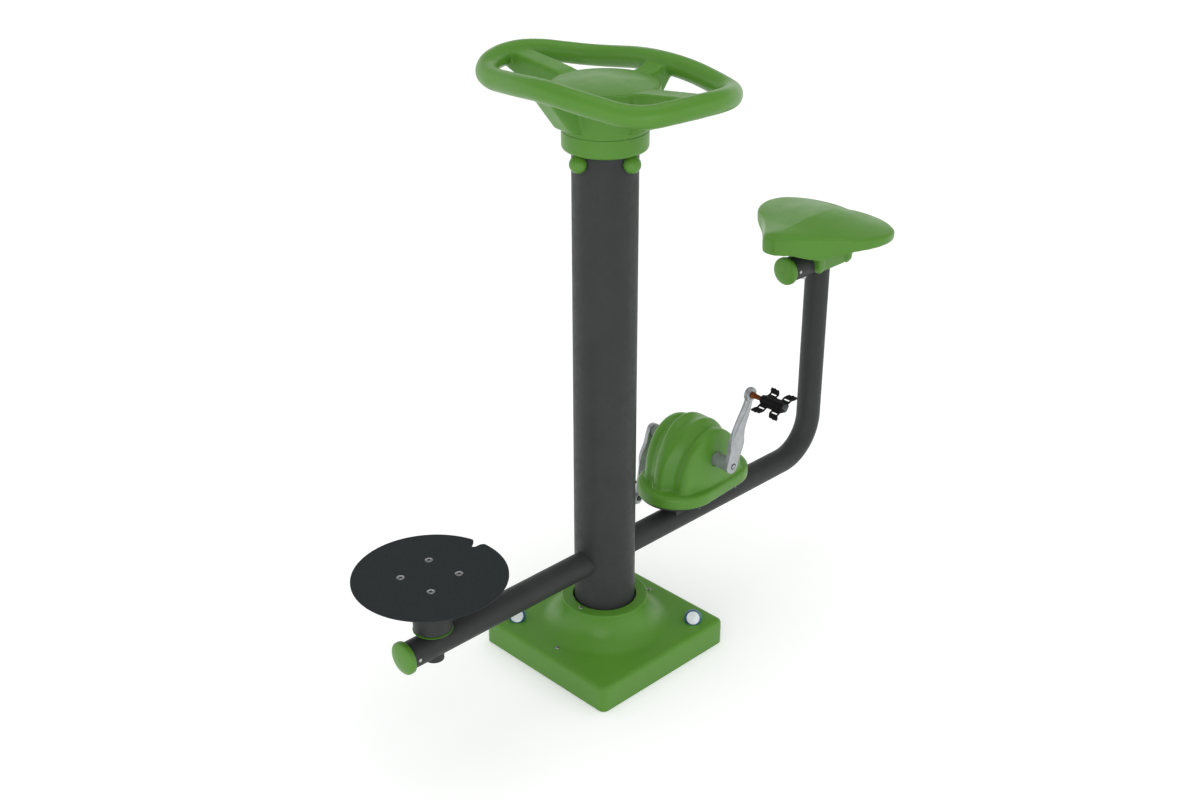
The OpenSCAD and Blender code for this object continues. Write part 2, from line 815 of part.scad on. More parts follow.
module saddle() {
    color(green) difference() {
        union() {
            saddle_skin();
            claw_block(claw_front_x, claw_front_x + claw_l, claw_half);
            claw_block(claw_rear_x, claw_rear_x + claw_l, claw_half);
            claw_block(claw_front_x + claw_l - over, claw_rear_x + over, claw_web_half);
            difference() {
                claw_block(claw_front_x - claw_nose, claw_front_x + over, claw_half);
                translate([claw_front_x - claw_nose - over, -saddle_w / 2, rail_z - saddle_w])
                    cube([claw_nose, saddle_w, saddle_w + arm_r]);
            }
        }
        for (dx = saddle_bolt_x) {
            translate([upright_x + dx, 0, rail_z])
                cylinder(r = saddle_bolt_r + seat_gap, h = arm_r + saddle_bolt_in + seat_gap);
            translate([upright_x + dx, 0, rail_z])
                cylinder(r = insert_r + press_gap, h = arm_r + seat_gap + insert_l);
        }
    }
}

module saddle_inserts() {
    color(brass)
        for (dx = saddle_bolt_x)
            translate([upright_x + dx, 0, rail_z + arm_r + seat_gap])
                ring(insert_r, saddle_bolt_r + press_gap, insert_l);
}

module saddle_bolts() {
    color(zinc)
        for (dx = saddle_bolt_x)
            translate([upright_x + dx, 0, rail_z - arm_r]) {
                cylinder(r = saddle_bolt_r, h = 2 * arm_r + saddle_bolt_in);
                translate([0, 0, -washer_t]) cylinder(r = washer_r, h = washer_t);
                translate([0, 0, -washer_t - bolt_head_h])
                    cylinder(r = bolt_head_r, h = bolt_head_h, $fn = 6);
            }
}

// Welded bracket on the beam, with the two bearing housings
module drive_bracket() {
    top = flange_z;
    color(steel_dark) difference() {
        union() {
            translate([0, 0, top - bracket_t]) linear_extrude(bracket_t) flange_outline(bracket_inset);
            both_sides()
                translate([crank_x - web_foot_l / 2, web_foot_y, arm_z])
                    cube([web_foot_l, web_foot_t, top - bracket_t - arm_z + over]);
            both_sides()
                translate([crank_x, -cheek_y, crank_z]) to_near()
                    linear_extrude(cheek_t) hull() {
                        circle(r = housing_r + cheek_t, $fn = hull_sides);
                        translate([-cheek_w / 2, top - over - crank_z])
                            square([cheek_w, cheek_t]);
                    }
            both_sides()
                translate([crank_x, -cheek_y, crank_z]) to_near()
                    cylinder(r = housing_r, h = housing_end_y - cheek_y);
        }
        translate([0, 0, arm_z]) rotate([0, 90, 0]) cylinder(r = arm_r, h = upright_x);
        both_sides() {
            translate([crank_x, -cheek_y + over, crank_z]) to_near()
                cylinder(r = bearing_in_r + cheek_t / 2, h = housing_end_y - cheek_y + 2 * over);
            translate([crank_x, -bearing_y, crank_z]) to_near()
                cylinder(r = bearing_r + press_gap, h = bearing_w + over);
        }
        drive_screw_places(top - bracket_t - over)
            cylinder(r = drive_screw_r + seat_gap, h = bracket_t + 2 * over);
    }
}

// Places of the four screws that hold the drive cover down on its bracket
module drive_screw_places(z) {
    for (place = boss_peg_places, sy = [-1, 1])
        translate([crank_x + place[0], sy * place[1], z]) children();
}

module axle_outer_races() {
    color(zinc) both_sides()
        translate([crank_x, -bearing_y, crank_z]) to_near()
            ring(bearing_r, bearing_in_r + run_gap, bearing_w);
}

// The lobed dome as one closed skin of arches across the centre plane, with its foot sunk
module dome_skin(inset, sink) {
    half = concat([for (i = [len(arch_shares) - 1 : -1 : 0]) each [[arch_shares[i], -1]]],
        [for (p = arch_shares) [p, 1]]);
    n = arch_steps + 3;
    points = [for (h = half)
        let (y = h[1] * h[0][0] * (dome_half_w - inset), a = h[0][1] * dome_half_l - inset,
            c = h[0][2] * dome_h - inset)
        each concat([[-a, y, -sink]],
            [for (k = [0 : arch_steps]) [-a * cos(180 * k / arch_steps), y, c * sin(180 * k / arch_steps)]],
            [[a, y, -sink]])];
    last = (len(half) - 1) * n;
    faces = concat(
        [for (i = [0 : len(half) - 2], k = [0 : n - 1])
            each two(i * n + k, (i + 1) * n + k, (i + 1) * n + (k + 1) % n, i * n + (k + 1) % n)],
        [[for (k = [0 : n - 1]) k]],
        [[for (k = [n - 1 : -1 : 0]) last + k]]);
    translate([dome_x, 0, dome_z]) polyhedron(points = points, faces = faces);
}

// Outline of the flange, drawn in by an inset
module flange_outline(inset) {
    hull() {
        translate([flange_wide_x, 0]) circle(r = flange_wide_r - inset, $fn = 2 * hull_sides);
        translate([flange_narrow_x, 0]) circle(r = flange_narrow_r - inset, $fn = 2 * hull_sides);
    }
}

// One round end of the flange, with its rounded upper edge
module flange_puck(r) {
    translate([0, 0, flange_z]) {
        cylinder(r = r, h = flange_h - flange_fillet_r, $fn = 2 * hull_sides);
        translate([0, 0, flange_h - flange_fillet_r])
            rotate_extrude($fn = 2 * hull_sides) translate([r - flange_fillet_r, 0]) intersection() {
                circle(r = flange_fillet_r, $fn = hull_sides / 2);
                square(flange_fillet_r);
            }
    }
}

module flange_body() {
    hull() {
        translate([flange_wide_x, 0, 0]) flange_puck(flange_wide_r);
        translate([flange_narrow_x, 0, 0]) flange_puck(flange_narrow_r);
    }
}

// The whole moulded drive cover before it is split
module drive_shell() {
    difference() {
        union() {
            difference() {
                union() {
                    flange_body();
                    dome_skin(0, drive_wall);
                }
                dome_skin(drive_wall, flange_h / 2);
                translate([0, 0, flange_z - over])
                    linear_extrude(flange_h - drive_wall + over) flange_outline(drive_wall);
            }
            drive_screw_places(flange_z) cylinder(r = boss_peg_r, h = boss_peg_l);
        }
        drive_screw_places(flange_z - over)
            cylinder(r = drive_screw_r + seat_gap, h = drive_screw_l + over);
        translate([crank_x, crank_y, crank_z]) to_near()
            cylinder(r = sleeve_hole_r, h = 2 * crank_y);
    }
}

module drive_cover_near() {
    color(green) intersection() {
        drive_shell();
        translate([0, -2 * crank_y - seam_gap / 2, 0]) cube([upright_x, 2 * crank_y, post_top_z]);
    }
}

module drive_cover_far() {
    color(green) intersection() {
        drive_shell();
        translate([0, seam_gap / 2, 0]) cube([upright_x, 2 * crank_y, post_top_z]);
    }
}

module drive_cover_screws() {
    color(zinc) drive_screw_places(flange_z - bracket_t) {
        cylinder(r = drive_screw_r, h = bracket_t + drive_screw_l - over);
        mirror([0, 0, 1]) dome(screw_head_r, screw_head_h);
    }
}

module crank_axle() {
    color(zinc) translate([crank_x, axle_end_y, crank_z]) to_near() difference() {
        cylinder(r = axle_r, h = 2 * axle_end_y);
        translate([0, 0, -over]) cylinder(r = crank_bolt_r + press_gap, h = crank_bolt_l + 2 * over);
        translate([0, 0, 2 * axle_end_y - crank_bolt_l - over])
            cylinder(r = crank_bolt_r + press_gap, h = crank_bolt_l + 2 * over);
    }
}

module flywheel() {
    color(steel_dark) translate([crank_x, 0, crank_z]) to_near() difference() {
        union() {
            translate([0, 0, -flywheel_t / 2])
                ring(flywheel_r, flywheel_r - flywheel_rim_w, flywheel_t);
            translate([0, 0, -flywheel_web_t / 2])
                cylinder(r = flywheel_r - flywheel_rim_w + over, h = flywheel_web_t);
            translate([0, 0, -flywheel_hub_t / 2]) cylinder(r = flywheel_hub_r, h = flywheel_hub_t);
        }
        translate([0, 0, -flywheel_hub_t]) cylinder(r = axle_r + press_gap, h = 2 * flywheel_hub_t);
    }
}

module axle_inner_races() {
    color(zinc) both_sides()
        translate([crank_x, -bearing_y, crank_z]) to_near()
            ring(bearing_in_r, axle_r + press_gap, bearing_w);
}

module axle_sleeves() {
    start = bearing_y + bearing_w;
    nose = 2 * side_gap;
    color(sleeve_grey) both_sides()
        translate([crank_x, -start, crank_z]) to_near() difference() {
            union() {
                cylinder(r = bearing_in_r, h = nose + over);
                translate([0, 0, nose]) cylinder(r = sleeve_r, h = crank_in_y - start - nose);
            }
            translate([0, 0, -over]) cylinder(r = axle_r + press_gap, h = crank_y);
        }
}

// One crank, its root at the origin and its eye on +Y of the drawing
module crank_arm() {
    wide_y = crank_len * crank_wide_at_share;
    neck_y = crank_len * crank_neck_at_share;
    module layer(less) {
        hull() {
            circle(r = crank_root_r - less, $fn = hull_sides);
            translate([0, wide_y]) circle(r = crank_wide_r - less, $fn = hull_sides);
        }
        hull() {
            translate([0, wide_y]) circle(r = crank_wide_r - less, $fn = hull_sides);
            translate([0, neck_y]) circle(r = crank_neck_r - less, $fn = hull_sides);
        }
        translate([0, neck_y - crank_neck_r])
            translate([less - crank_neck_r, 0]) square([2 * (crank_neck_r - less), crank_len - neck_y]);
        translate([0, crank_len]) circle(r = crank_eye_r - less);
    }
    difference() {
        union() {
            linear_extrude(crank_t) layer(crank_bevel);
            translate([0, 0, crank_bevel]) linear_extrude(crank_t - 2 * crank_bevel) layer(0);
        }
        translate([0, 0, -over]) cylinder(r = axle_r + press_gap, h = crank_t + 2 * over);
        translate([0, crank_len, -over]) cylinder(r = eye_bore_r, h = crank_t + 2 * over);
    }
}

module crank_near() {
    color(alloy) translate([crank_x, -crank_in_y, crank_z]) rotate([0, crank_lean, 0])
        to_near() crank_arm();
}

// The far crank points the other way
module crank_far() {
    color(alloy) translate([crank_x, axle_end_y, crank_z]) rotate([0, crank_lean + 180, 0])
        to_near() crank_arm();
}

module crank_bolts() {
    color(zinc) both_sides()
        translate([crank_x, -axle_end_y, crank_z]) to_near() {
            difference() {
                cylinder(r = crank_bolt_head_r, h = crank_bolt_head_h);
                translate([0, 0, crank_bolt_head_h / 2])
                    cylinder(r = crank_bolt_r * 0.8, h = crank_bolt_head_h, $fn = 6);
            }
            translate([0, 0, over - crank_bolt_l]) cylinder(r = crank_bolt_r, h = crank_bolt_l - over);
        }
}

// Centre of the near crank's eye in the XZ plane; the far one is opposite
eye_dx = crank_len * sin(crank_lean);
eye_dz = crank_len * cos(crank_lean);

// Draws along -Y at the near eye, and mirrored along +Y at the far eye
module at_near_eye() {
    translate([crank_x + eye_dx, 0, crank_z + eye_dz]) children();
}

module at_far_eye() {
    translate([crank_x - eye_dx, 0, crank_z - eye_dz]) mirror([0, 1, 0]) children();
}

module pedal_spindle() {
    root_y = crank_in_y + over;
    end_y = barrel_out_y + side_gap;
    translate([0, -root_y, 0]) to_near() cylinder(r = eye_bore_r - press_gap, h = axle_end_y - root_y);
    translate([0, -axle_end_y, 0]) to_near() cylinder(r = spindle_flange_r, h = spindle_flange_t);
    translate([0, -axle_end_y, 0]) to_near() cylinder(r = pedal_spindle_r, h = end_y - axle_end_y);
}

module pedal_spindles() {
    color(copper) {
        at_near_eye() pedal_spindle();
        at_far_eye() pedal_spindle();
    }
}

// A claw plate with two teeth on two struts, which leave a window next to the cage's body
module cage_arm(sx, sy) {
    out_x = pedal_reach - claw_t / 2;
    out_y = pedal_half_w - claw_w / 2;
    for (ty = [-1, 1]) {
        translate([sx * (cage_half + out_x) / 2, sy * out_y + ty * ((claw_w - cage_t) / 2 - 1), 0])
            cube([out_x - cage_half + 2, cage_t, cage_strut_h], center = true);
        translate([sx * out_x, sy * out_y + ty * (claw_w - claw_t) / 2, 0])
            cube([claw_t, claw_t, claw_h], center = true);
    }
    translate([sx * out_x, sy * out_y, 0]) cube([claw_t, claw_w, claw_h - 2 * tooth_h], center = true);
}

// The cage's body, an eight-sided plate round the barrel
module cage_body() {
    end_x = barrel_r - 2;
    end_y = pedal_half_w - 8;
    corner_y = pedal_half_w - 2.5;
    translate([0, 0, -cage_h / 2]) linear_extrude(cage_h) polygon([
        [-end_x, -end_y], [end_x, -end_y], [cage_half, -corner_y], [cage_half, corner_y],
        [end_x, end_y], [-end_x, end_y], [-cage_half, corner_y], [-cage_half, -corner_y]]);
}

// The black cage: a barrel along Y in a plate-like body, with four toothed claws
module pedal_cage() {
    difference() {
        union() {
            translate([0, -barrel_in_y, 0]) to_near() cylinder(r = barrel_r, h = barrel_out_y - barrel_in_y);
            translate([0, -pedal_y, 0]) rotate([0, -pedal_tilt, 0]) {
                cage_body();
                for (sx = [-1, 1], sy = [-1, 1]) cage_arm(sx, sy);
            }
        }
        translate([0, over - barrel_in_y, 0]) to_near()
            cylinder(r = bush_r + press_gap, h = 2 * pedal_half_w + over);
    }
}

module pedal_bush() {
    translate([0, -barrel_in_y, 0]) to_near()
        ring(bush_r, pedal_spindle_r + run_gap, barrel_out_y - barrel_in_y);
}

// The dust cap closes the outer end of the barrel
module pedal_cap() {
    translate([0, -barrel_out_y, 0]) to_near() difference() {
        union() {
            cylinder(r = dust_cap_r, h = dust_cap_t - 2);
            translate([0, 0, dust_cap_t - 2]) dome(dust_cap_r, 2);
        }
        translate([0, 0, -over]) cylinder(r = pedal_spindle_r + side_gap, h = over + 2 * side_gap);
    }
}

module pedal_cage_near() {
    color(pedal_black) at_near_eye() pedal_cage();
}

module pedal_cage_far() {
    color(pedal_black) at_far_eye() pedal_cage();
}

module pedal_bush_near() {
    color(brass) at_near_eye() pedal_bush();
}

module pedal_bush_far() {
    color(brass) at_far_eye() pedal_bush();
}

module pedal_cap_near() {
    color(sleeve_grey) at_near_eye() pedal_cap();
}

module pedal_cap_far() {
    color(sleeve_grey) at_far_eye() pedal_cap();
}

// Steel spigot in the top of the post, with the flange that carries the wheel
module wheel_spigot() {
    color(zinc) difference() {
        union() {
            translate([0, 0, post_top_z]) cylinder(r = spigot_flange_r, h = seam_z - post_top_z);
            translate([0, 0, post_top_z - spigot_l]) cylinder(r = spigot_r, h = spigot_l + over);
        }
        translate([0, 0, post_top_z - spigot_l - over])
            cylinder(r = spigot_r - spigot_wall, h = spigot_l + over);
        cylinder(r = spigot_hole_r, h = seam_z + over);
        for (turn = [45, 135, 225, 315])
            rotate([0, 0, turn]) translate([wheel_screw_pcr, 0, post_top_z - over])
                cylinder(r = wheel_screw_r + seat_gap, h = seam_z);
        for (turn = [0, 90, 180, 270])
            rotate([0, 0, turn]) translate([0, 0, wheel_bolt_z]) rotate([0, 90, 0])
                cylinder(r = wheel_bolt_r + press_gap, h = post_r);
    }
}

module wheel_screws() {
    color(zinc)
        for (turn = [45, 135, 225, 315])
            rotate([0, 0, turn]) translate([wheel_screw_pcr, 0, post_top_z]) {
                cylinder(r = wheel_screw_r, h = seam_z - post_top_z + wheel_screw_in - over);
                mirror([0, 0, 1]) cylinder(r = wheel_bolt_head_r, h = bolt_head_h, $fn = 6);
            }
}

module wheel_collar() {
    bottom = seam_z - collar_h;
    color(green) difference() {
        rotate_extrude() difference() {
            translate([post_r + seat_gap, bottom]) square([collar_r - post_r - seat_gap, collar_h]);
            translate([collar_r - collar_fillet_r, bottom]) difference() {
                translate([0, -over]) square([collar_fillet_r + over, collar_fillet_r + over]);
                translate([0, collar_fillet_r]) circle(r = collar_fillet_r);
            }
            translate([0, post_top_z]) square([spigot_flange_r + seat_gap, collar_h]);
        }
    }
}

// Path of the rim's centreline round the wheel
rim_path = closed_curve(mirrored([for (p = rim_path_shares)
    [p[0] * wheel_reach_x, p[1] * wheel_reach_y, rim_z - p[2] * rim_droop]]), rim_steps);

// The rim as one tube swept along its closed path
module rim() {
    n = len(rim_path);
    points = [for (i = [0 : n - 1], j = [0 : rim_sides - 1])
        let (along = rim_path[(i + 1) % n] - rim_path[(i + n - 1) % n], t = along / norm(along),
            side = cross(t, [0, 0, 1]) / norm(cross(t, [0, 0, 1])), a = 360 * j / rim_sides)
        rim_path[i] + rim_r * (cos(a) * side + sin(a) * cross(side, t))];
    faces = [for (i = [0 : n - 1], j = [0 : rim_sides - 1])
        let (k = (i + 1) % n, m = (j + 1) % rim_sides)
        each two(i * rim_sides + j, i * rim_sides + m, k * rim_sides + m, k * rim_sides + j)];
    polyhedron(points = points, faces = faces);
}

// A web from the hub out to the rim at a distance reach
module web(reach, turn) {
    top_out = rim_z + web_out_drop;
    rotate([0, 0, turn]) rotate([90, 0, 0]) linear_extrude(web_w, center = true)
        polygon([[web_root_r, hub_top_z - over], [hub_cap_r + over, hub_top_z - over],
            [reach - rim_r * 0.6, top_out], [reach, rim_z + over], [reach - over, rim_z - rim_r * 0.85],
            [web_knee_r, seam_z + web_knee_h], [collar_r + web_foot_h, seam_z + web_foot_h],
            [web_root_r, seam_z + web_foot_h / 2]]);
}

module hand_wheel() {
    front = -rim_path_shares[0][0] * wheel_reach_x;
    nose = rim_path_shares[len(rim_path_shares) - 1][0] * wheel_reach_x;
    side = wheel_reach_y;
    color(green) difference() {
        union() {
            rim();
            rotate_extrude() polygon([[0, seam_z], [collar_r, seam_z],
                [collar_r, seam_z + hub_neck_h], [hub_rim_r - 6, hub_top_z - hub_edge_h - 6],
                [hub_rim_r, hub_top_z - hub_edge_h], [hub_rim_r, hub_top_z - 3],
                [hub_rim_r - 3, hub_top_z], [0, hub_top_z]]);
            web(nose, 0);
            web(front, 180);
            web(side, 90);
            web(side, 270);
        }
        translate([0, 0, hub_top_z - hub_recess_h])
            cylinder(r = hub_recess_r + seat_gap, h = wheel_reach_x);
        difference() {
            translate([0, 0, seam_z + hub_floor_t])
                cylinder(r = collar_r - hub_wall, h = hub_top_z - seam_z - hub_floor_t);
            for (turn = [45, 135, 225, 315])
                rotate([0, 0, turn]) translate([wheel_screw_pcr, 0, seam_z])
                    cylinder(r = hub_boss_r, h = wheel_screw_in + hub_floor_t);
        }
        for (turn = [45, 135, 225, 315])
            rotate([0, 0, turn]) translate([wheel_screw_pcr, 0, seam_z - over])
                cylinder(r = wheel_screw_r + press_gap, h = wheel_screw_in + over);
    }
}

module hub_cap() {
    color(green) {
        translate([0, 0, hub_top_z - hub_recess_h]) cylinder(r = hub_recess_r, h = hub_recess_h);
        translate([0, 0, hub_top_z]) dome(hub_cap_r, hub_dome_h);
    }
}

// Draws along +Z at the four bolts round the post, from the post's axis outwards
module at_wheel_bolts() {
    for (turn = [0, 90, 180, 270])
        rotate([0, 0, turn]) translate([0, 0, wheel_bolt_z]) rotate([0, 90, 0]) children();
}

module wheel_bolts() {
    color(zinc) at_wheel_bolts() {
        translate([0, 0, spigot_r - spigot_wall]) cylinder(r = wheel_bolt_r, h = post_wall + spigot_wall + over);
        translate([0, 0, post_r]) cylinder(r = wheel_bolt_head_r, h = wheel_bolt_head_h, $fn = 6);
    }
}

module wheel_bolt_caps() {
    color(green) difference() {
        at_wheel_bolts() translate([0, 0, post_r + cap_out]) sphere(r = bolt_cap_r);
        cylinder(r = post_r, h = post_top_z);
        at_wheel_bolts() cylinder(r = wheel_bolt_head_r + seat_gap, h = post_r + wheel_bolt_head_h + seat_gap);
        translate([0, 0, seam_z - collar_h - seat_gap]) cylinder(r = collar_r + cap_out, h = collar_h);
    }
}

// Boss that is welded upright through the twister arm
module twister_boss() {
    color(steel_dark) translate([twister_cx, 0, boss_bottom_z])
        ring(boss_r, spindle_r + press_gap, ring_seat_z - boss_bottom_z);
}

module twister_spindle() {
    low = boss_bottom_z;
    color(zinc) translate([twister_cx, 0, 0]) {
        translate([0, 0, low]) cylinder(r = spindle_r, h = t_high_z + t_bearing_w + nut_h - low);
        mirror([0, 0, 1]) translate([0, 0, -low]) dome(boss_r - 2, 5);
    }
}

// Thin ring that rides on the boss under the hub
module dust_ring() {
    color(green) translate([twister_cx, 0, ring_seat_z])
        ring(hub_r + 1.5, spindle_r + press_gap, ring_t);
}

module twister_inner_races() {
    color(zinc) translate([twister_cx, 0, 0])
        for (z = [t_low_z, t_high_z])
            translate([0, 0, z]) ring(t_inner_r, spindle_r + press_gap, t_bearing_w);
}

// Spacers below and between the inner races
module bearing_spacer() {
    color(zinc) translate([twister_cx, 0, 0]) {
        translate([0, 0, ring_seat_z + ring_t])
            ring(t_inner_r, spindle_r + press_gap, t_low_z - ring_seat_z - ring_t);
        translate([0, 0, t_low_z + t_bearing_w])
            ring(t_inner_r, spindle_r + press_gap, t_high_z - t_low_z - t_bearing_w);
    }
}

module lock_nut() {
    color(zinc) translate([twister_cx, 0, t_high_z + t_bearing_w]) difference() {
        cylinder(r = nut_r, h = nut_h, $fn = 6);
        translate([0, 0, -over]) cylinder(r = spindle_r + press_gap, h = nut_h + 2 * over);
    }
}

module twister_outer_races() {
    color(zinc) translate([twister_cx, 0, 0])
        for (z = [t_low_z, t_high_z])
            translate([0, 0, z]) ring(t_bearing_r, t_inner_r + run_gap, t_bearing_w);
}

// Places of the disc's screws
module disc_screw_places(z) {
    for (turn = [0, 90, 180, 270])
        translate([twister_cx, 0, z]) rotate([0, 0, disc_turn + turn])
            translate([disc_screw_pcd / 2, 0, 0]) children();
}

// Turning hub with its bearing seats and the flange that carries the disc
module twister_hub() {
    mid_r = t_bearing_r - 4;
    color(steel_dark) difference() {
        translate([twister_cx, 0, 0]) difference() {
            union() {
                translate([0, 0, hub_bottom_z]) cylinder(r = hub_r, h = hub_top - hub_bottom_z);
                translate([0, 0, hub_top - hub_flange_t]) cylinder(r = hub_flange_r, h = hub_flange_t);
            }
            translate([0, 0, hub_bottom_z - over]) cylinder(r = t_inner_r + 4, h = disc_top_z);
            translate([0, 0, t_low_z]) cylinder(r = t_bearing_r + press_gap, h = t_bearing_w);
            translate([0, 0, t_low_z]) cylinder(r = mid_r, h = disc_top_z);
            translate([0, 0, t_high_z]) cylinder(r = t_bearing_r + press_gap, h = disc_top_z);
        }
        disc_screw_places(hub_top - hub_flange_t - over)
            cylinder(r = disc_screw_r + seat_gap, h = hub_flange_t + 2 * over);
    }
}

// Standing disc with countersunk holes and one notch in its edge
module twister_disc() {
    color(disc_black) difference() {
        translate([twister_cx, 0, hub_top]) cylinder(r = disc_r, h = disc_t);
        disc_screw_places(hub_top - over)
            cylinder(r = disc_screw_r + seat_gap, h = disc_t + 2 * over);
        disc_screw_places(disc_top_z - disc_screw_head_h)
            cylinder(r1 = disc_screw_r + seat_gap, r2 = disc_screw_head_r + seat_gap, h = disc_screw_head_h);
        translate([twister_cx, 0, hub_top - over]) rotate([0, 0, notch_turn])
            linear_extrude(disc_t + 2 * over) {
                translate([disc_r - notch_depth, 0]) circle(r = notch_tip_r);
                polygon([[disc_r - notch_depth, -notch_tip_r], [disc_r + over, -notch_w / 2],
                    [disc_r + over, notch_w / 2], [disc_r - notch_depth, notch_tip_r]]);
            }
    }
}

module disc_screws() {
    color(zinc) disc_screw_places(disc_top_z) difference() {
        union() {
            translate([0, 0, -disc_screw_head_h])
                cylinder(r1 = disc_screw_r, r2 = disc_screw_head_r, h = disc_screw_head_h);
            translate([0, 0, -disc_screw_l]) cylinder(r = disc_screw_r, h = disc_screw_l);
        }
        translate([0, 0, -hex_depth]) cylinder(r = hex_r, h = hex_depth + over, $fn = 6);
    }
}

anchor_plate();
main_post();
post_gussets();
base_cover_front();
base_cover_rear();
base_cover_screws();
twister_arm();
seat_arm();
seat_rail();
arm_end_cap();
rail_end_caps();
cap_rivets();
saddle();
saddle_inserts();
saddle_bolts();
drive_bracket();
axle_outer_races();
drive_cover_near();
drive_cover_far();
drive_cover_screws();
wheel_spigot();
wheel_screws();
wheel_collar();
hand_wheel();
hub_cap();
wheel_bolts();
wheel_bolt_caps();
twister_boss();
twister_spindle();
dust_ring();
twister_inner_races();
bearing_spacer();
lock_nut();
twister_disc();
twister_hub();
twister_outer_races();
disc_screws();
crank_axle();
flywheel();
axle_inner_races();
axle_sleeves();
crank_near();
crank_far();
crank_bolts();
pedal_spindles();
pedal_cage_near();
pedal_cage_far();
pedal_bush_near();
pedal_bush_far();
pedal_cap_near();
pedal_cap_far();
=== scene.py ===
# Looks of an outdoor pedal trainer with a standing twister and a fixed hand wheel.
# Everything is in metres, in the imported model's own frame: origin on the ground on the post's axis, +Z up.
import json
import math

import bmesh
import bpy
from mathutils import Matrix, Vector


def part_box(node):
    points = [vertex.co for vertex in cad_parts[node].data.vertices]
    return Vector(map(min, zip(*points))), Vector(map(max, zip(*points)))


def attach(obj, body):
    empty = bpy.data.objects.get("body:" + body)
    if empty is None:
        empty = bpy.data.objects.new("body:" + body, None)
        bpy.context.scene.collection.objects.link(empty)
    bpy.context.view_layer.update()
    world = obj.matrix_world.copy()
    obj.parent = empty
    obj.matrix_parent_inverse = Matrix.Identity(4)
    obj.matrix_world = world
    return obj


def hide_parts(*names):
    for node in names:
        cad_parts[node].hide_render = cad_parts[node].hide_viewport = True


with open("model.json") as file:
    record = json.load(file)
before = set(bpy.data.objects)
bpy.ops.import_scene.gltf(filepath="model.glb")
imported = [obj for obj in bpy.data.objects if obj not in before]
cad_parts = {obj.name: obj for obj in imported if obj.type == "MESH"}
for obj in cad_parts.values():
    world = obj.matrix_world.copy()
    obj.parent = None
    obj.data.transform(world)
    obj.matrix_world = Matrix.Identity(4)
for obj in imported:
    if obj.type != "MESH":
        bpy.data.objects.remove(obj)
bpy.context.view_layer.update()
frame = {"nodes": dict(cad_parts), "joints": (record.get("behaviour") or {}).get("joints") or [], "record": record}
NODES = frame["nodes"]
JOINT_PLACES = {joint["name"]: Vector(joint["pos_m"]) for joint in frame["joints"]}
CRANK_AXIS = Vector((JOINT_PLACES["crank_spin"].x, 0, JOINT_PLACES["crank_spin"].z))
# Pedal spindles by side: -1 near and 1 far
PEDAL_PLACES = {-1: JOINT_PLACES["pedal_near_spin"], 1: JOINT_PLACES["pedal_far_spin"]}
ORIGIN = Vector((0, 0, 0))
UP = (0, 0, 1)

# Camera, light and floor
CAMERA_PLACE = Vector((-2.1593, -2.1873, 2.1716))
CAMERA_YAW = math.radians(45.568)
CAMERA_DOWN = math.radians(26.529)
SENSOR = 36.0
LENS = 46.975
# Strength of the sky at the horizon and overhead: for light, and as seen and reflected
SKY_LIGHT = (0.95, 0.88)
SKY_SEEN = (1.0, 0.18)
# Sines of the elevations between which the sky darkens
SKY_FADE = (0.26, 0.5)
FLOOR_SIZE = 80
FLOOR_COLOR = (0.86, 0.87, 0.86, 1.0)
FLOOR_GLOW = 0.26
# Lamps: name, place, the point that they light, diameter and power
LAMPS = [
    ("key", (-3.2, -2.4, 1.7), (0, 0, 0.5), 2.4, 20),
    ("fill", (0.8, -3.6, 2.4), (0.2, 0, 0.6), 2.4, 6),
    ("top", (0.4, 0.4, 4.4), (0, 0, 0.4), 2.6, 12)]
# Edges sharper than this stay sharp in the shading
SHARP_ANGLE = math.radians(38)
# Corners of a box round every piece that is parted in two
PARTING_BOX = ((-0.3, -0.3, -0.1), (0.8, 0.3, 0.8))


def srgb(r, g, b):
    """A colour given as 0 to 255 in sRGB, as linear numbers."""
    def linear(c):
        c /= 255
        return c / 12.92 if c <= 0.04045 else ((c + 0.055) / 1.055) ** 2.4
    return linear(r), linear(g), linear(b), 1.0


def add_node(tree, kind, values=None, **settings):
    """A new node with its settings and the values of its input sockets."""
    node = tree.nodes.new(kind)
    for key, value in settings.items():
        setattr(node, key, value)
    set_inputs(node, values or {})
    return node


def set_inputs(node, values):
    """Gives input sockets their values, by name or number."""
    for key, value in values.items():
        node.inputs[key].default_value = value


def map_values(low, high, out_low, out_high):
    """Input values of a map-range node."""
    return {"From Min": low, "From Max": high, "To Min": out_low, "To Max": out_high}


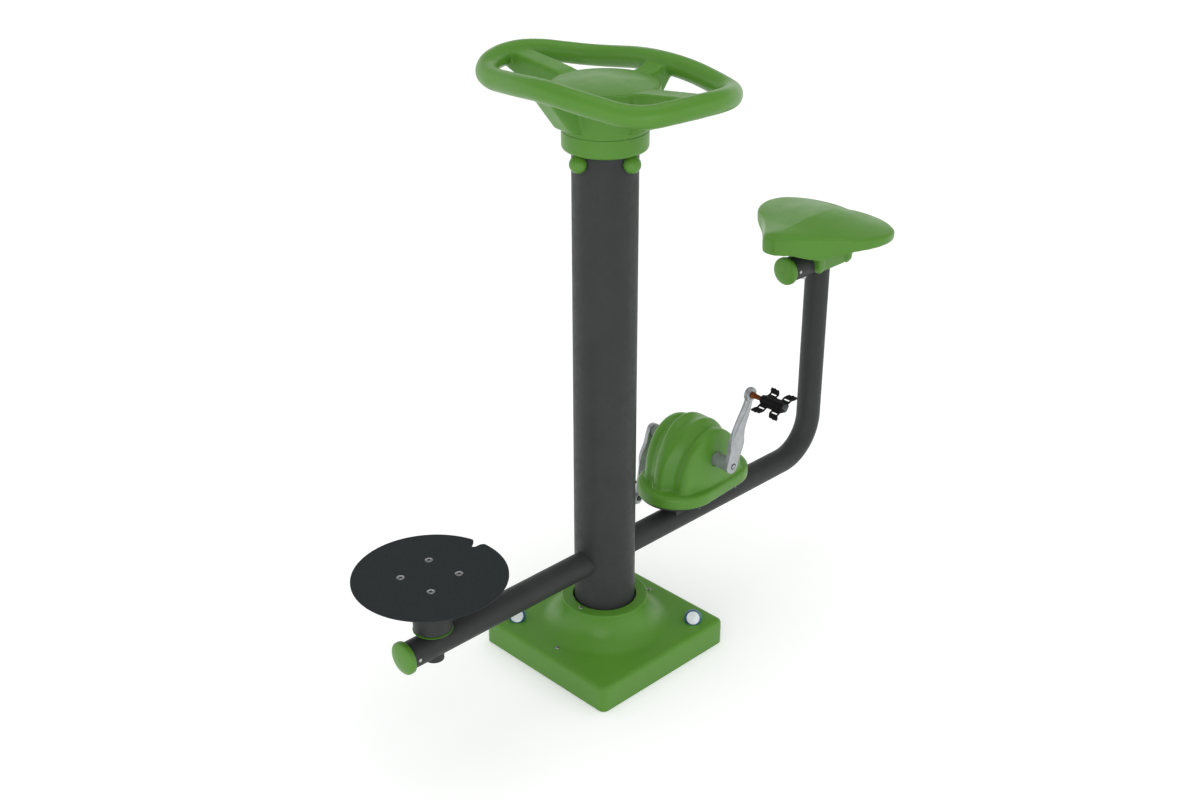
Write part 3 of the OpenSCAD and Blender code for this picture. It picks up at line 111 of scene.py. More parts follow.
class Finish:
    """A material's node tree, with short calls for the nodes that the finishes share."""

    def __init__(self, name, color, rough, metal=0.0, specular=0.5):
        self.material = bpy.data.materials.new(name)
        self.material.use_nodes = True
        self.tree = self.material.node_tree
        self.bsdf = self.tree.nodes["Principled BSDF"]
        self.color = color
        set_inputs(self.bsdf, {"Metallic": metal, "Specular IOR Level": specular, "Roughness": rough,
                               "Base Color": color})
        self.place = self.add("ShaderNodeTexCoord").outputs["Object"]

    def add(self, kind, values=None, **settings):
        return add_node(self.tree, kind, values, **settings)

    def link(self, a, b):
        self.tree.links.new(a, b)

    def noise(self, scale, detail=2.0, rough=0.5):
        node = self.add("ShaderNodeTexNoise", {"Scale": scale, "Detail": detail, "Roughness": rough})
        self.link(self.place, node.inputs["Vector"])
        return node.outputs["Fac"]

    def cells(self, scale):
        node = self.add("ShaderNodeTexVoronoi", {"Scale": scale})
        self.link(self.place, node.inputs["Vector"])
        return node.outputs["Distance"]

    def ramp(self, value, low, high, out_low=0.0, out_high=1.0):
        node = self.add("ShaderNodeMapRange", map_values(low, high, out_low, out_high))
        self.link(value, node.inputs["Value"])
        return node.outputs["Result"]

    def mix(self, share, a, b):
        """A colour that goes from a to b as share goes from 0 to 1; a and b are colours or sockets."""
        node = self.add("ShaderNodeMix", data_type="RGBA")
        self.link(share, node.inputs["Factor"])
        for socket, value in ((node.inputs[6], a), (node.inputs[7], b)):
            if isinstance(value, tuple):
                socket.default_value = value
            else:
                self.link(value, socket)
        return node.outputs[2]

    def shade(self, factor):
        """The base colour made lighter or darker."""
        r, g, b, a = self.color
        return r * factor, g * factor, b * factor, a

    def paint(self, color):
        self.link(color, self.bsdf.inputs["Base Color"])

    def roughness(self, value):
        self.link(value, self.bsdf.inputs["Roughness"])

    def bump(self, heights, rounding=0.0):
        """Stacks heights as (socket, depth in metres) over a rounded edge of the given radius."""
        normal = None
        if rounding:
            edge = self.add("ShaderNodeBevel", {"Radius": rounding}, samples=4)
            normal = edge.outputs["Normal"]
        for height, depth in heights:
            node = self.add("ShaderNodeBump", {"Strength": 1.0, "Distance": depth})
            self.link(height, node.inputs["Height"])
            if normal is not None:
                self.link(normal, node.inputs["Normal"])
            normal = node.outputs["Normal"]
        self.link(normal, self.bsdf.inputs["Normal"])


def green_plastic():
    """Moulded plastic: a faint orange peel, slow colour drift and slightly uneven gloss."""
    f = Finish("green_plastic", srgb(86, 140, 46), 0.35, specular=0.36)
    drift = f.ramp(f.noise(7, 3), 0.35, 0.65)
    fleck = f.ramp(f.noise(420, 2), 0.3, 0.7)
    f.paint(f.mix(fleck, f.mix(drift, f.shade(0.93), f.shade(1.04)), f.shade(1.02)))
    f.roughness(f.ramp(f.noise(26, 4), 0.3, 0.7, 0.3, 0.4))
    f.bump([(f.noise(14, 2), 0.0004), (f.noise(900, 2), 0.00006)])
    return f.material


def dark_steel():
    """Powder coat on steel tube: a fine close texture, a little dust and rounded edges."""
    f = Finish("dark_steel", srgb(54, 56, 56), 0.5, specular=0.25)
    dust = f.ramp(f.noise(9, 5, 0.6), 0.45, 0.75)
    f.paint(f.mix(dust, f.shade(0.92), f.shade(1.12)))
    f.roughness(f.ramp(f.noise(60, 3), 0.3, 0.7, 0.44, 0.56))
    f.bump([(f.noise(1400, 2), 0.00008), (f.noise(260, 2), 0.00006)], rounding=0.0012)
    return f.material


def speckled_black():
    """Hard grip plate of the disc: close grains over a dark slate ground."""
    f = Finish("speckled_black", srgb(40, 46, 48), 0.62, specular=0.15)
    grain = f.ramp(f.cells(520), 0.1, 0.6)
    f.paint(f.mix(grain, f.shade(1.22), f.shade(0.88)))
    f.roughness(f.ramp(f.noise(300, 2), 0.3, 0.7, 0.55, 0.72))
    f.bump([(f.cells(520), 0.00012), (f.noise(30, 3), 0.0001)], rounding=0.0008)
    return f.material


def bright_metal(name, color, rough, grain_scale, rounding=0.0005):
    """Plated or machined steel with fine unevenness in its gloss."""
    f = Finish(name, color, rough, 1.0)
    f.paint(f.mix(f.ramp(f.noise(90, 4), 0.35, 0.7), f.shade(0.86), f.shade(1.05)))
    f.roughness(f.ramp(f.noise(grain_scale, 3), 0.3, 0.7, rough - 0.07, rough + 0.08))
    f.bump([(f.noise(grain_scale, 2), 0.00003)], rounding=rounding)
    return f.material


def cast_alloy():
    """Satin cast aluminium with a fine blasted skin and patchy tone and gloss."""
    f = Finish("cast_alloy", srgb(178, 182, 185), 0.38, 0.6)
    f.paint(f.mix(f.ramp(f.noise(60, 4, 0.6), 0.35, 0.7), f.shade(0.8), f.shade(1.04)))
    f.roughness(f.ramp(f.noise(500, 3), 0.3, 0.7, 0.32, 0.46))
    f.bump([(f.noise(1500, 2), 0.00006)], rounding=0.0012)
    return f.material


def dull_plastic(name, color, rough, grain_scale, specular=0.5):
    """Fine-grained moulded plastic or rubber."""
    f = Finish(name, color, rough, specular=specular)
    f.paint(f.mix(f.ramp(f.noise(40, 4), 0.35, 0.7), f.shade(0.85), f.shade(1.15)))
    f.roughness(f.ramp(f.noise(120, 3), 0.3, 0.7, rough - 0.06, rough + 0.08))
    f.bump([(f.noise(grain_scale, 2), 0.00008)], rounding=0.0006)
    return f.material


MATERIALS = {
    "dark_steel": dark_steel(),
    "green_plastic": green_plastic(),
    "zinc_steel": bright_metal("zinc_steel", srgb(190, 192, 192), 0.34, 700),
    "bearing_steel": bright_metal("bearing_steel", srgb(170, 172, 175), 0.22, 900),
    "brass_insert": bright_metal("brass_insert", srgb(192, 158, 84), 0.35, 800),
    "copper_steel": bright_metal("copper_steel", srgb(148, 82, 46), 0.46, 500),
    "speckled_black": speckled_black(),
    "grey_plastic": dull_plastic("grey_plastic", srgb(126, 136, 130), 0.5, 900, 0.35),
    "cast_alloy": cast_alloy(),
    "black_bolt": dull_plastic("black_bolt", srgb(52, 52, 54), 0.4, 700),
    "black_nylon": dull_plastic("black_nylon", srgb(14, 14, 15), 0.5, 900, 0.2),
}
# Finishes of small pieces that differ from their slot's
CAP_PALE = dull_plastic("bolt_cap_pale", srgb(222, 228, 230), 0.35, 800)
CAP_BLUE = dull_plastic("bolt_cap_blue", srgb(58, 104, 140), 0.35, 800)
DUST_CAP_GREY = dull_plastic("dust_cap_grey", srgb(58, 62, 66), 0.45, 700, 0.3)


def coat(obj, slot):
    """Gives a piece or a CAD node the finish of a material slot."""
    obj.data.materials.clear()
    obj.data.materials.append(MATERIALS[slot])


for part in frame["record"]["subparts"]:
    coat(NODES[part["node"]], part["material_slot"])
for cap in ("pedal_cap_near", "pedal_cap_far"):
    NODES[cap].data.materials[0] = DUST_CAP_GREY


def closed_mesh(name, *skins):
    """A mesh object from closed skins of points and faces, with its normals turned outwards."""
    points, faces = [], []
    for skin_points, skin_faces in skins:
        start = len(points)
        points += [tuple(p) for p in skin_points]
        faces += [tuple(start + i for i in face) for face in skin_faces]
    mesh = bpy.data.meshes.new(name)
    mesh.from_pydata(points, [], faces)
    work = bmesh.new()
    work.from_mesh(mesh)
    bmesh.ops.recalc_face_normals(work, faces=work.faces)
    work.to_mesh(mesh)
    work.free()
    obj = bpy.data.objects.new(name, mesh)
    bpy.context.scene.collection.objects.link(obj)
    return obj


def turns(steps):
    """Angles of a full turn in equal steps."""
    return [2 * math.pi * k / steps for k in range(steps)]


def loft(rings, ends="flat"):
    """Points and faces of a skin over equally long rings; ends is flat, or loop for a closed path."""
    n = len(rings[0])
    points = [p for ring in rings for p in ring]
    faces = []
    count = len(rings) if ends == "loop" else len(rings) - 1
    for i in range(count):
        a, b = i * n, (i + 1) % len(rings) * n
        faces += [(a + k, a + (k + 1) % n, b + (k + 1) % n, b + k) for k in range(n)]
    if ends == "flat":
        faces += [tuple(range(n - 1, -1, -1)), tuple(range((len(rings) - 1) * n, len(rings) * n))]
    return points, faces


def spline(a, b, c, d, t):
    """The smooth way from b to c, with a before them and d behind, as t goes from 0 to 1."""
    return 0.5 * (2 * b + (c - a) * t + (2 * a - 5 * b + 4 * c - d) * t * t
                  + (3 * b - a - 3 * c + d) * t ** 3)


def closed_curve(points, steps):
    """A smooth closed curve through points, with steps stretches between neighbours."""
    n = len(points)
    curve = []
    for i in range(n):
        near = [Vector(points[(i + k) % n]) for k in (-1, 0, 1, 2)]
        curve += [spline(*near, j / steps) for j in range(steps)]
    return curve


def applied(obj, *modifiers):
    """Runs modifiers, given as (kind, settings), and keeps their result as the mesh."""
    for kind, settings in modifiers:
        modifier = obj.modifiers.new(kind.lower(), kind)
        for key, value in settings.items():
            setattr(modifier, key, value)
    bpy.context.view_layer.update()
    done = obj.evaluated_get(bpy.context.evaluated_depsgraph_get())
    mesh = bpy.data.meshes.new_from_object(done)
    obj.modifiers.clear()
    old = obj.data
    obj.data = mesh
    bpy.data.meshes.remove(old)
    mesh.name = obj.name
    return obj


def fused(obj, voxel, rounds):
    """Melts overlapping closed skins into one and softens the corners where they meet."""
    return applied(obj, ("REMESH", {"mode": "VOXEL", "voxel_size": voxel}),
                   ("SMOOTH", {"factor": 0.5, "iterations": rounds}))


def dressed(obj, slot, body, *replaced):
    """Smooth shading up to an angle, finish, body and the CAD nodes that the piece stands for."""
    obj.data.polygons.foreach_set("use_smooth", [True] * len(obj.data.polygons))
    obj.data.set_sharp_from_angle(angle=SHARP_ANGLE)
    coat(obj, slot)
    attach(obj, body)
    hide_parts(*replaced)
    return obj


def moulded(obj, *replaced):
    """A green moulding on the frame."""
    dressed(obj, "green_plastic", "frame", *replaced)


def mirrored(half):
    """A half outline from end to end with its mirror image, closed round; only its ends lie on the axis."""
    back = [(p[0], -p[1], *p[2:]) for p in reversed(half[1:-1])]
    return half + back


def mirrored_ends(half):
    """A half outline with its mirror image, open at the mouth; only its first point lies on the axis."""
    return [(u, -v) for u, v in reversed(half[1:])] + half


def smooth_step(t):
    """Goes from 0 to 1 with soft ends while t does."""
    t = min(max(t, 0), 1)
    return t * t * (3 - 2 * t)


def between(table, x, column=1):
    """Smooth value at x of a column in a table whose rows begin with their place."""
    places = [row[0] for row in table]
    i = max(0, min(len(table) - 2, sum(p <= x for p in places) - 1))
    near = [table[max(0, min(len(table) - 1, i + k))][column] for k in (-1, 0, 1, 2)]
    return spline(*near, (x - places[i]) / (places[i + 1] - places[i]))


def turned(profile, place, axis, steps=64, ends="flat"):
    """A skin through (radius, distance) points, turned round an axis that starts at a place."""
    turn = Vector((0, 0, 1)).rotation_difference(Vector(axis))
    return loft([[place + turn @ Vector((r * math.cos(a), r * math.sin(a), d)) for a in turns(steps)]
                 for r, d in profile], ends)


def rod(radius, start, end, place, axis, steps=64):
    """A round rod between two distances from a place along an axis."""
    return turned([(radius, start), (radius, end)], place, axis, steps)


def box_skin(low, high):
    (x0, y0, z0), (x1, y1, z1) = low, high
    return loft([[(x0, y0, z), (x1, y0, z), (x1, y1, z), (x0, y1, z)] for z in (z0, z1)])


def round_rectangle(x0, x1, y0, y1, r, steps):
    """Points round a rectangle whose corners are round, with equal steps in each corner."""
    points = []
    for cx, cy, start in ((x1 - r, y1 - r, 0), (x0 + r, y1 - r, 90), (x0 + r, y0 + r, 180),
                          (x1 - r, y0 + r, 270)):
        for k in range(steps + 1):
            a = math.radians(start + 90 * k / steps)
            points.append((cx + r * math.cos(a), cy + r * math.sin(a)))
    return points


def quarter(steps, first=0):
    """Sines and cosines at equal steps of a quarter turn."""
    angles = [math.pi / 2 * k / steps for k in range(first, steps + 1)]
    return [(math.sin(a), math.cos(a)) for a in angles]


def cut(obj, skin, operation="DIFFERENCE"):
    """Cuts a closed skin out of an object, or keeps only what they share."""
    tool = closed_mesh("cutter", skin)
    applied(obj, ("BOOLEAN", {"object": tool, "operation": operation, "solver": "EXACT"}))
    mesh = tool.data
    bpy.data.objects.remove(tool)
    bpy.data.meshes.remove(mesh)


def copied(obj, name):
    """A second object with a mesh of its own."""
    twin = obj.copy()
    twin.data = obj.data.copy()
    twin.name = name
    twin.data.name = name
    bpy.context.scene.collection.objects.link(twin)
    return twin


def parted(cover, near_seam, far_seam, near, far):
    """Parts a cover into two halves that end at their seams along Y and stand for two CAD nodes."""
    other = copied(cover, far + "_skin")
    cover.name = near + "_skin"
    (x0, y0, z0), (x1, y1, z1) = PARTING_BOX
    cut(cover, box_skin((x0, y0, z0), (x1, near_seam, z1)), "INTERSECT")
    cut(other, box_skin((x0, far_seam, z0), (x1, y1, z1)), "INTERSECT")
    moulded(cover, near)
    moulded(other, far)


# Hand wheel
RIM_R = 0.023
RIM_DROOP = 0.018
HUB_DOME = 0.007
HUB_EDGE_R = 0.112
HUB_RECESS_R = 0.0982
HUB_RECESS_D = 0.006
WEB_HALF = 0.025
WEB_ROUND = 0.004
WHEEL_VOXEL = 0.0024
SEAM_GROOVE = 0.0016
# The rim's path reaches to these shares along X and Y at most
RIM_REACH_SHARES = (1.005, 0.997)
# Half path of the rim from -X to +X: shares of the reach along X and Y and of the corners' droop
RIM_PATH_SHARES = [
    (-0.99, 0, 0), (-0.955, 0.25, 0.25), (-0.885, 0.47, 0.6), (-0.81, 0.67, 0.86), (-0.68, 0.83, 0.76),
    (-0.46, 0.935, 0.32), (-0.16, 0.99, 0.08), (0.145, 0.997, 0.12), (0.41, 0.95, 0.36),
    (0.62, 0.87, 0.7), (0.82, 0.76, 1), (0.925, 0.625, 0.98), (0.98, 0.47, 0.75), (1.005, 0.315, 0.46),
    (1.005, 0.16, 0.24), (0.99, 0, 0.12)]


def rim_skin(reach_x, reach_y, rim_z):
    """The round rim along its wavy path."""
    path = closed_curve(mirrored([(x * reach_x, y * reach_y, rim_z - d * RIM_DROOP)
                                  for x, y, d in RIM_PATH_SHARES]), 8)
    rings = []
    for i, p in enumerate(path):
        along = (path[(i + 1) % len(path)] - path[i - 1]).normalized()
        side = along.cross(Vector((0, 0, 1))).normalized()
        lift = side.cross(along)
        rings.append([p + RIM_R * (math.cos(a) * side + math.sin(a) * lift) for a in turns(32)])
    return loft(rings, "loop")


def web_skin(stations, turn):
    """A web as a loft over (distance, lower height, upper height), turned round the post."""
    c, s = math.cos(turn), math.sin(turn)
    rings = []
    for u, low, high in stations:
        section = round_rectangle(-WEB_HALF, WEB_HALF, low, high, WEB_ROUND, 4)
        rings.append([(u * c - y * s, u * s + y * c, z) for y, z in section])
    return loft(rings)


def hand_wheel():
    """One moulding: the rim, four webs under it and a bell-shaped hub, cut off at the collar's seam."""
    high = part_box("hand_wheel")[1]
    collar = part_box("wheel_collar")[1]
    neck, seam = collar.x, collar.z
    hub_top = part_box("hub_cap")[1].z - HUB_DOME
    rim_z = high.z - RIM_R
    reach_x = (high.x - RIM_R) / RIM_REACH_SHARES[0]
    reach_y = (high.y - RIM_R) / RIM_REACH_SHARES[1]
    hub = turned([(0.02, seam - 0.008), (neck, seam - 0.008), (neck, seam + 0.012),
                  (0.104, hub_top - 0.024), (HUB_EDGE_R, hub_top - 0.015), (HUB_EDGE_R, hub_top - 0.003),
                  (HUB_EDGE_R - 0.004, hub_top), (0.02, hub_top)], ORIGIN, UP, 96)
    skins = [rim_skin(reach_x, reach_y, rim_z), hub]
    for turn, reach in ((0, reach_x), (180, reach_x), (90, reach_y), (270, reach_y)):
        stations = [(0.04, seam + 0.006, hub_top), (neck + 0.011, seam + 0.0115, hub_top),
                    (0.12, seam + 0.022, hub_top + 0.004), (reach, rim_z - 0.026, rim_z + 0.011)]
        skins.append(web_skin(stations, math.radians(turn)))
    wheel = fused(closed_mesh("hand_wheel_skin", *skins), WHEEL_VOXEL, 7)
    cut(wheel, box_skin((-0.2, -0.2, seam - 0.05), (0.2, 0.2, seam)))
    cut(wheel, rod(HUB_RECESS_R, hub_top - HUB_RECESS_D, hub_top + 0.044, ORIGIN, UP, 96))
    groove = [(neck - SEAM_GROOVE, seam - 0.001), (neck + 0.003, seam - 0.001),
              (neck + 0.003, seam + 0.0012), (neck - SEAM_GROOVE, seam + 0.0012)]
    cut(wheel, turned(groove, ORIGIN, UP, 128, "loop"))
    moulded(wheel, "hand_wheel")


# Drive covers
DOME_L = 0.122
DOME_W = 0.08
DOME_H = 0.15
# The dome across: shares of the half width, with the half length and the height there
DOME_SHARES = [
    (0, 0.99, 0.975), (0.143, 0.965, 0.985), (0.286, 0.877, 1.007), (0.405, 0.815, 0.953),
    (0.524, 0.795, 0.887), (0.643, 0.845, 0.91), (0.762, 0.862, 0.903), (0.869, 0.815, 0.868),
    (0.952, 0.63, 0.72), (1, 0.34, 0.44)]
# How much shorter the dome's side strips and its corners are towards the post than away from it
DOME_BACK_DRAW = 0.125
DOME_CORNER_DRAW = 0.22
# The flange's two arcs: place along X and radius
FLANGE_WIDE = (0.2425, 0.0958)
FLANGE_NARROW = (0.367, 0.086)
FLANGE_H = 0.03
FLANGE_ROUND = 0.009
COVER_WALL = 0.004
COVER_VOXEL = 0.0022
SLEEVE_R = 0.0168
SLEEVE_GAP = 0.0015
# Half the gap between the two halves
SEAM_HALF = 0.00015


def dome_skin(inset, foot):
    """The ribbed dome drawn in by an inset, on a foot that goes down into the flange."""
    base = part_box("drive_cover_near")[0].z + FLANGE_H
    rings = []
    for i in range(-32, 33):
        share = math.sin(math.pi / 2 * i / 32)
        half_l = between(DOME_SHARES, abs(share)) * DOME_L - inset
        height = between(DOME_SHARES, abs(share), 2) * DOME_H - inset
        y = share * (DOME_W - inset)
        side = DOME_BACK_DRAW * smooth_step((abs(share) - 0.5) / 0.35)
        corner = DOME_CORNER_DRAW * smooth_step((abs(share) - 0.84) / 0.11)
        arch = []
        for k in range(49):
            c, s = math.cos(math.pi * k / 48), math.sin(math.pi * k / 48)
            reach = half_l * (1 - corner - side * (1 - 0.9 * s * s)) if k < 24 else half_l
            arch.append((CRANK_AXIS.x - reach * c, y, base + height * s))
        rings.append([(arch[0][0], y, base - foot)] + arch + [(arch[-1][0], y, base - foot)])
    return loft(rings)


def flange_ring(inset, z, steps=64):
    """The flange's outline: two arcs of different radii round its two centres, joined by their tangents."""
    (x0, r0), (x1, r1) = FLANGE_WIDE, FLANGE_NARROW
    lean = math.asin((r0 - r1) / (x1 - x0))
    points = []
    for x, r, start, sweep in ((x0, r0 - inset, math.pi / 2 - lean, math.pi + 2 * lean),
                               (x1, r1 - inset, -math.pi / 2 + lean, math.pi - 2 * lean)):
        for k in range(steps + 1):
            a = start + sweep * k / steps
            points.append((x + r * math.cos(a), r * math.sin(a), z))
    return points


def drive_covers():
    """A thin shell with an axle hole through it, parted into two halves along the middle."""
    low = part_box("drive_cover_near")[0].z
    top = low + FLANGE_H
    rings = [flange_ring(0.0008, low), flange_ring(0, low + 0.0008)]
    rings += [flange_ring(FLANGE_ROUND * (1 - c), top - FLANGE_ROUND * (1 - s)) for s, c in quarter(8)]
    cover = closed_mesh("drive_cover_skin", loft(rings), dome_skin(0, 0.012))
    fused(cover, COVER_VOXEL, 14)
    cut(cover, dome_skin(COVER_WALL, 0.02))
    cut(cover, loft([flange_ring(COVER_WALL, low - 0.01), flange_ring(COVER_WALL, top - COVER_WALL)]))
    cut(cover, rod(SLEEVE_R + SLEEVE_GAP, -0.12, 0.12, CRANK_AXIS, (0, 1, 0)))
    parted(cover, -SEAM_HALF, SEAM_HALF, "drive_cover_near", "drive_cover_far")


# Saddle
SADDLE_L = 0.3115
SADDLE_W = 0.3665
SADDLE_ROUND = 0.006
SADDLE_WALL = 0.008
SADDLE_VOXEL = 0.0024
SADDLE_RAIL_Z = 0.77
SADDLE_EDGE_Z = SADDLE_RAIL_Z + 0.1
SKIRT_D = 0.055
RIDGE_H = 0.018
RAIL_FIT_R = 0.0304
# Legs that hold the rail: place along X, and how far each widens upwards to the nose and to the tail
SADDLE_LEGS = ((0.694, 0.04, 0.014), (0.801, 0.014, 0.032))
LEG_H = 0.11
# Half outline from nose to tail, depth of the skirt and height of the ridge, all as shares of the size
SADDLE_OUTLINE_SHARES = [
    (0, 0), (0.012, 0.1), (0.055, 0.17), (0.125, 0.25), (0.24, 0.415), (0.355, 0.61), (0.44, 0.81),
    (0.52, 0.91), (0.6, 0.97), (0.69, 1), (0.77, 0.985), (0.845, 0.93), (0.9, 0.82), (0.95, 0.67),
    (0.985, 0.48), (1, 0.24), (0.992, 0.07), (0.978, 0)]
SKIRT_SHARES = [
    (0, 0.7), (0.12, 0.76), (0.21, 0.92), (0.3, 1), (0.36, 0.84), (0.44, 0.56), (0.53, 0.47), (0.7, 0.4),
    (1, 0.38)]
RIDGE_SHARES = [
    (0, 0.2), (0.1, 0.48), (0.2, 0.56), (0.29, 0.62), (0.38, 0.76), (0.47, 0.88), (0.55, 0.97), (0.64, 1),
    (0.72, 0.96), (0.8, 0.84), (0.87, 0.62), (0.93, 0.38), (0.98, 0.06)]


def saddle():
    """A crowned shell with a skirt, and two legs with a block between them that sit on the rail."""
    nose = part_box("saddle")[0].x - 0.0022
    half = [(x * SADDLE_L, y * SADDLE_W / 2, 0) for x, y in SADDLE_OUTLINE_SHARES]
    outline = closed_curve(mirrored(half), 8)

    def ring(share, inset, height):
        """Ring at a share of the way from the centre line to the outline, drawn in by an inset."""
        points = []
        for p in outline:
            u = p.x / SADDLE_L
            middle = Vector((SADDLE_L * min(max(u, 0.07), 0.93), 0, 0))
            q = middle.lerp(p, share)
            reach = (p - middle).length
            q -= (p - middle).normalized() * min(inset, 0.6 * reach)
            points.append((nose + q.x, q.y, SADDLE_EDGE_Z + height(u, share)))
        return points

    def top(u, share):
        """Roof-like at the tail and rounded over at the nose."""
        ridge = RIDGE_H * between(RIDGE_SHARES, min(max(u, 0), 0.98))
        sharp = min(max((u - 0.12) / 0.3, 0), 1)
        return ridge * (sharp * (1 - share ** 1.12) + (1 - sharp) * (1 - share ** 2))

    def flat(level):
        return lambda u, share: level

    def skirt(part):
        return lambda u, share: -SKIRT_D * between(SKIRT_SHARES, min(max(u, 0), 1)) * part

    rings = [ring(s, 0, top) for s in (0, 0.04, 0.1, 0.2, 0.35, 0.5, 0.65, 0.78, 0.88, 0.95)]
    rings += [ring(1, SADDLE_ROUND * (1 - s), flat(-SADDLE_ROUND * (1 - c))) for s, c in quarter(6, 1)]
    rings += [ring(1, 0, skirt(0.5)), ring(1, 0.0008, skirt(0.88)), ring(1, 0.0025, skirt(1)),
              ring(1, SADDLE_WALL, skirt(1)), ring(1, SADDLE_WALL * 1.3, skirt(0.5)),
              ring(1, SADDLE_WALL * 1.6, flat(-SADDLE_WALL * 1.6)), ring(0.6, 0, flat(-SADDLE_WALL * 1.1)),
              ring(0.05, 0, flat(-SADDLE_WALL * 1.1))]
    shell = loft(rings)
    rail_z = SADDLE_RAIL_Z
    blocks = []
    for x, nose_out, tail_out in SADDLE_LEGS:
        levels = []
        for k in range(17):
            t = k / 16
            foot = 0.009 * max(0, 1 - t / 0.12) ** 2
            bell = max(0, (t - 0.12) / 0.88) ** 1.9
            half_y = 0.047 - foot + 0.02 * bell
            level = round_rectangle(x - 0.012 + foot - nose_out * bell, x + 0.012 - foot + tail_out * bell,
                                    -half_y, half_y, 0.008, 6)
            levels.append([(u, v, rail_z - 0.02 + LEG_H * t) for u, v in level])
        blocks.append(loft(levels))
    blocks.append(box_skin((0.7, -0.0385, rail_z - 0.018), (0.79, 0.0385, rail_z + 0.088)))
    seat = fused(closed_mesh("saddle_skin", shell, *blocks), SADDLE_VOXEL, 5)
    cut(seat, rod(RAIL_FIT_R, 0.5, 0.95, Vector((0, 0, rail_z)), (1, 0, 0)))
    cut(seat, box_skin((0.5, -RAIL_FIT_R, rail_z - 0.06), (0.95, RAIL_FIT_R, rail_z)))
    moulded(seat, "saddle")


# Base covers
COVER_HALF = 0.1985
COVER_H = 0.063
CORNER_R = 0.0155
EDGE_R = 0.011
RING_R = 0.1
RING_HOLE_R = 0.0734
RING_TOP = 0.135
RING_ROUND = 0.0024
RING_HOLE_H = 0.028
RING_HOLE_ROUND = 0.0012
FLARE_R = 0.056
BASE_WALL = 0.004
# The two halves meet in this plane along Y
BASE_SEAM_Y = -0.009
# Screws: place, and the level that their heads sit on
COVER_SCREWS = ((-0.1618, -0.01, COVER_H), (0.1618, 0.01, COVER_H), (-0.0835, -0.007, RING_TOP),
                (0.0835, 0.007, RING_TOP))


def square_ring(inset, z):
    """Rounded square outline, with points close together round the corners."""
    half = COVER_HALF - CORNER_R
    r = max(CORNER_R - inset, 0.0005)
    points = []
    for corner in (math.radians(90 * k) for k in range(4)):
        c, s = math.cos(corner), math.sin(corner)
        side = [(COVER_HALF - inset, -half + 2 * half * k / 20) for k in range(20)]
        bend = [(half + r * math.cos(a), half + r * math.sin(a)) for a in turns(48)[:12]]
        points += [(x * c - y * s, x * s + y * c, z) for x, y in side + bend]
    return points


def round_ring(radius, z):
    """A circle whose points lie at the square ring's angles."""
    angles = [math.atan2(y, x) for x, y, _ in square_ring(0, z)]
    return [(radius * math.cos(a), radius * math.sin(a), z) for a in angles]


def base_covers():
    """A thin skin with a flare up to a ring round the post, parted into two halves."""
    flare_x, flare_z = RING_R + FLARE_R, RING_TOP - RING_ROUND
    flare_h = flare_z - COVER_H
    rings = [round_ring(RING_HOLE_R, RING_TOP - RING_HOLE_H),
             round_ring(RING_HOLE_R, RING_TOP - RING_HOLE_ROUND),
             round_ring(RING_HOLE_R + RING_HOLE_ROUND, RING_TOP),
             round_ring(RING_R - RING_ROUND - 0.004, RING_TOP)]
    rings += [round_ring(RING_R - RING_ROUND * (1 - s), RING_TOP - RING_ROUND * (1 - c))
              for s, c in quarter(5)]
    rings += [round_ring(flare_x - FLARE_R * c, flare_z - flare_h * s) for s, c in quarter(20, 1)]
    middle = zip(round_ring(flare_x, COVER_H), square_ring(EDGE_R, COVER_H))
    rings.append([tuple(Vector(a).lerp(Vector(b), 0.5)) for a, b in middle])
    rings += [square_ring(EDGE_R * (1 - s), COVER_H - EDGE_R * (1 - c)) for s, c in quarter(8)]
    rings += [square_ring(0, 0.02), square_ring(0, 0.0008), square_ring(0.0008, 0),
              square_ring(BASE_WALL, 0), square_ring(BASE_WALL, COVER_H - 0.008),
              square_ring(0.012, COVER_H - BASE_WALL), round_ring(0.165, COVER_H - BASE_WALL)]
    for k in range(12):
        a = math.radians(74 - 74 * k / 11)
        rings.append(round_ring(flare_x - (FLARE_R + BASE_WALL) * math.cos(a),
                                flare_z - (flare_h + BASE_WALL) * math.sin(a)))
    rings += [round_ring(RING_R - 0.009, RING_TOP - 0.0045),
              round_ring(RING_HOLE_R + BASE_WALL, RING_TOP - 0.0045),
              round_ring(RING_HOLE_R + BASE_WALL, RING_TOP - RING_HOLE_H)]
    cover = closed_mesh("base_cover_skin", loft(rings, "loop"))
    parted(cover, BASE_SEAM_Y, BASE_SEAM_Y, "base_cover_front", "base_cover_rear")


def base_screws():
    """Low pan heads with hexagon sockets."""
    profile = [(0.0006, -0.012), (0.0022, -0.012), (0.0022, -0.0004), (0.005, -0.0004), (0.0052, 0.0006),
               (0.0047, 0.0018), (0.0034, 0.0027), (0.0006, 0.003)]
    places = [Vector((x, y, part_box("base_cover_front")[0].z + level)) for x, y, level in COVER_SCREWS]
    screws = closed_mesh("base_cover_screws_skin", *[turned(profile, p, UP, 40) for p in places])
    for p in places:
        cut(screws, rod(0.0023, 0.001, 0.006, p, UP, 6))
    dressed(screws, "zinc_steel", "frame", "base_cover_screws")


def round_node(node):
    """Middle along X and Y, radius and two levels of a round upright CAD node."""
    low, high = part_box(node)
    return (low.x + high.x) / 2, (low.y + high.y) / 2, (high.y - low.y) / 2, low.z, high.z


# Twister
NOTCH_TURN = math.radians(11)
DISC_TURN = math.radians(53)
DISC_SCREW_R = 0.06
DISC_HOLE_R = 0.0042
SINK_R = 0.0098
SINK_H = 0.0056
DISC_EDGE = 0.0012
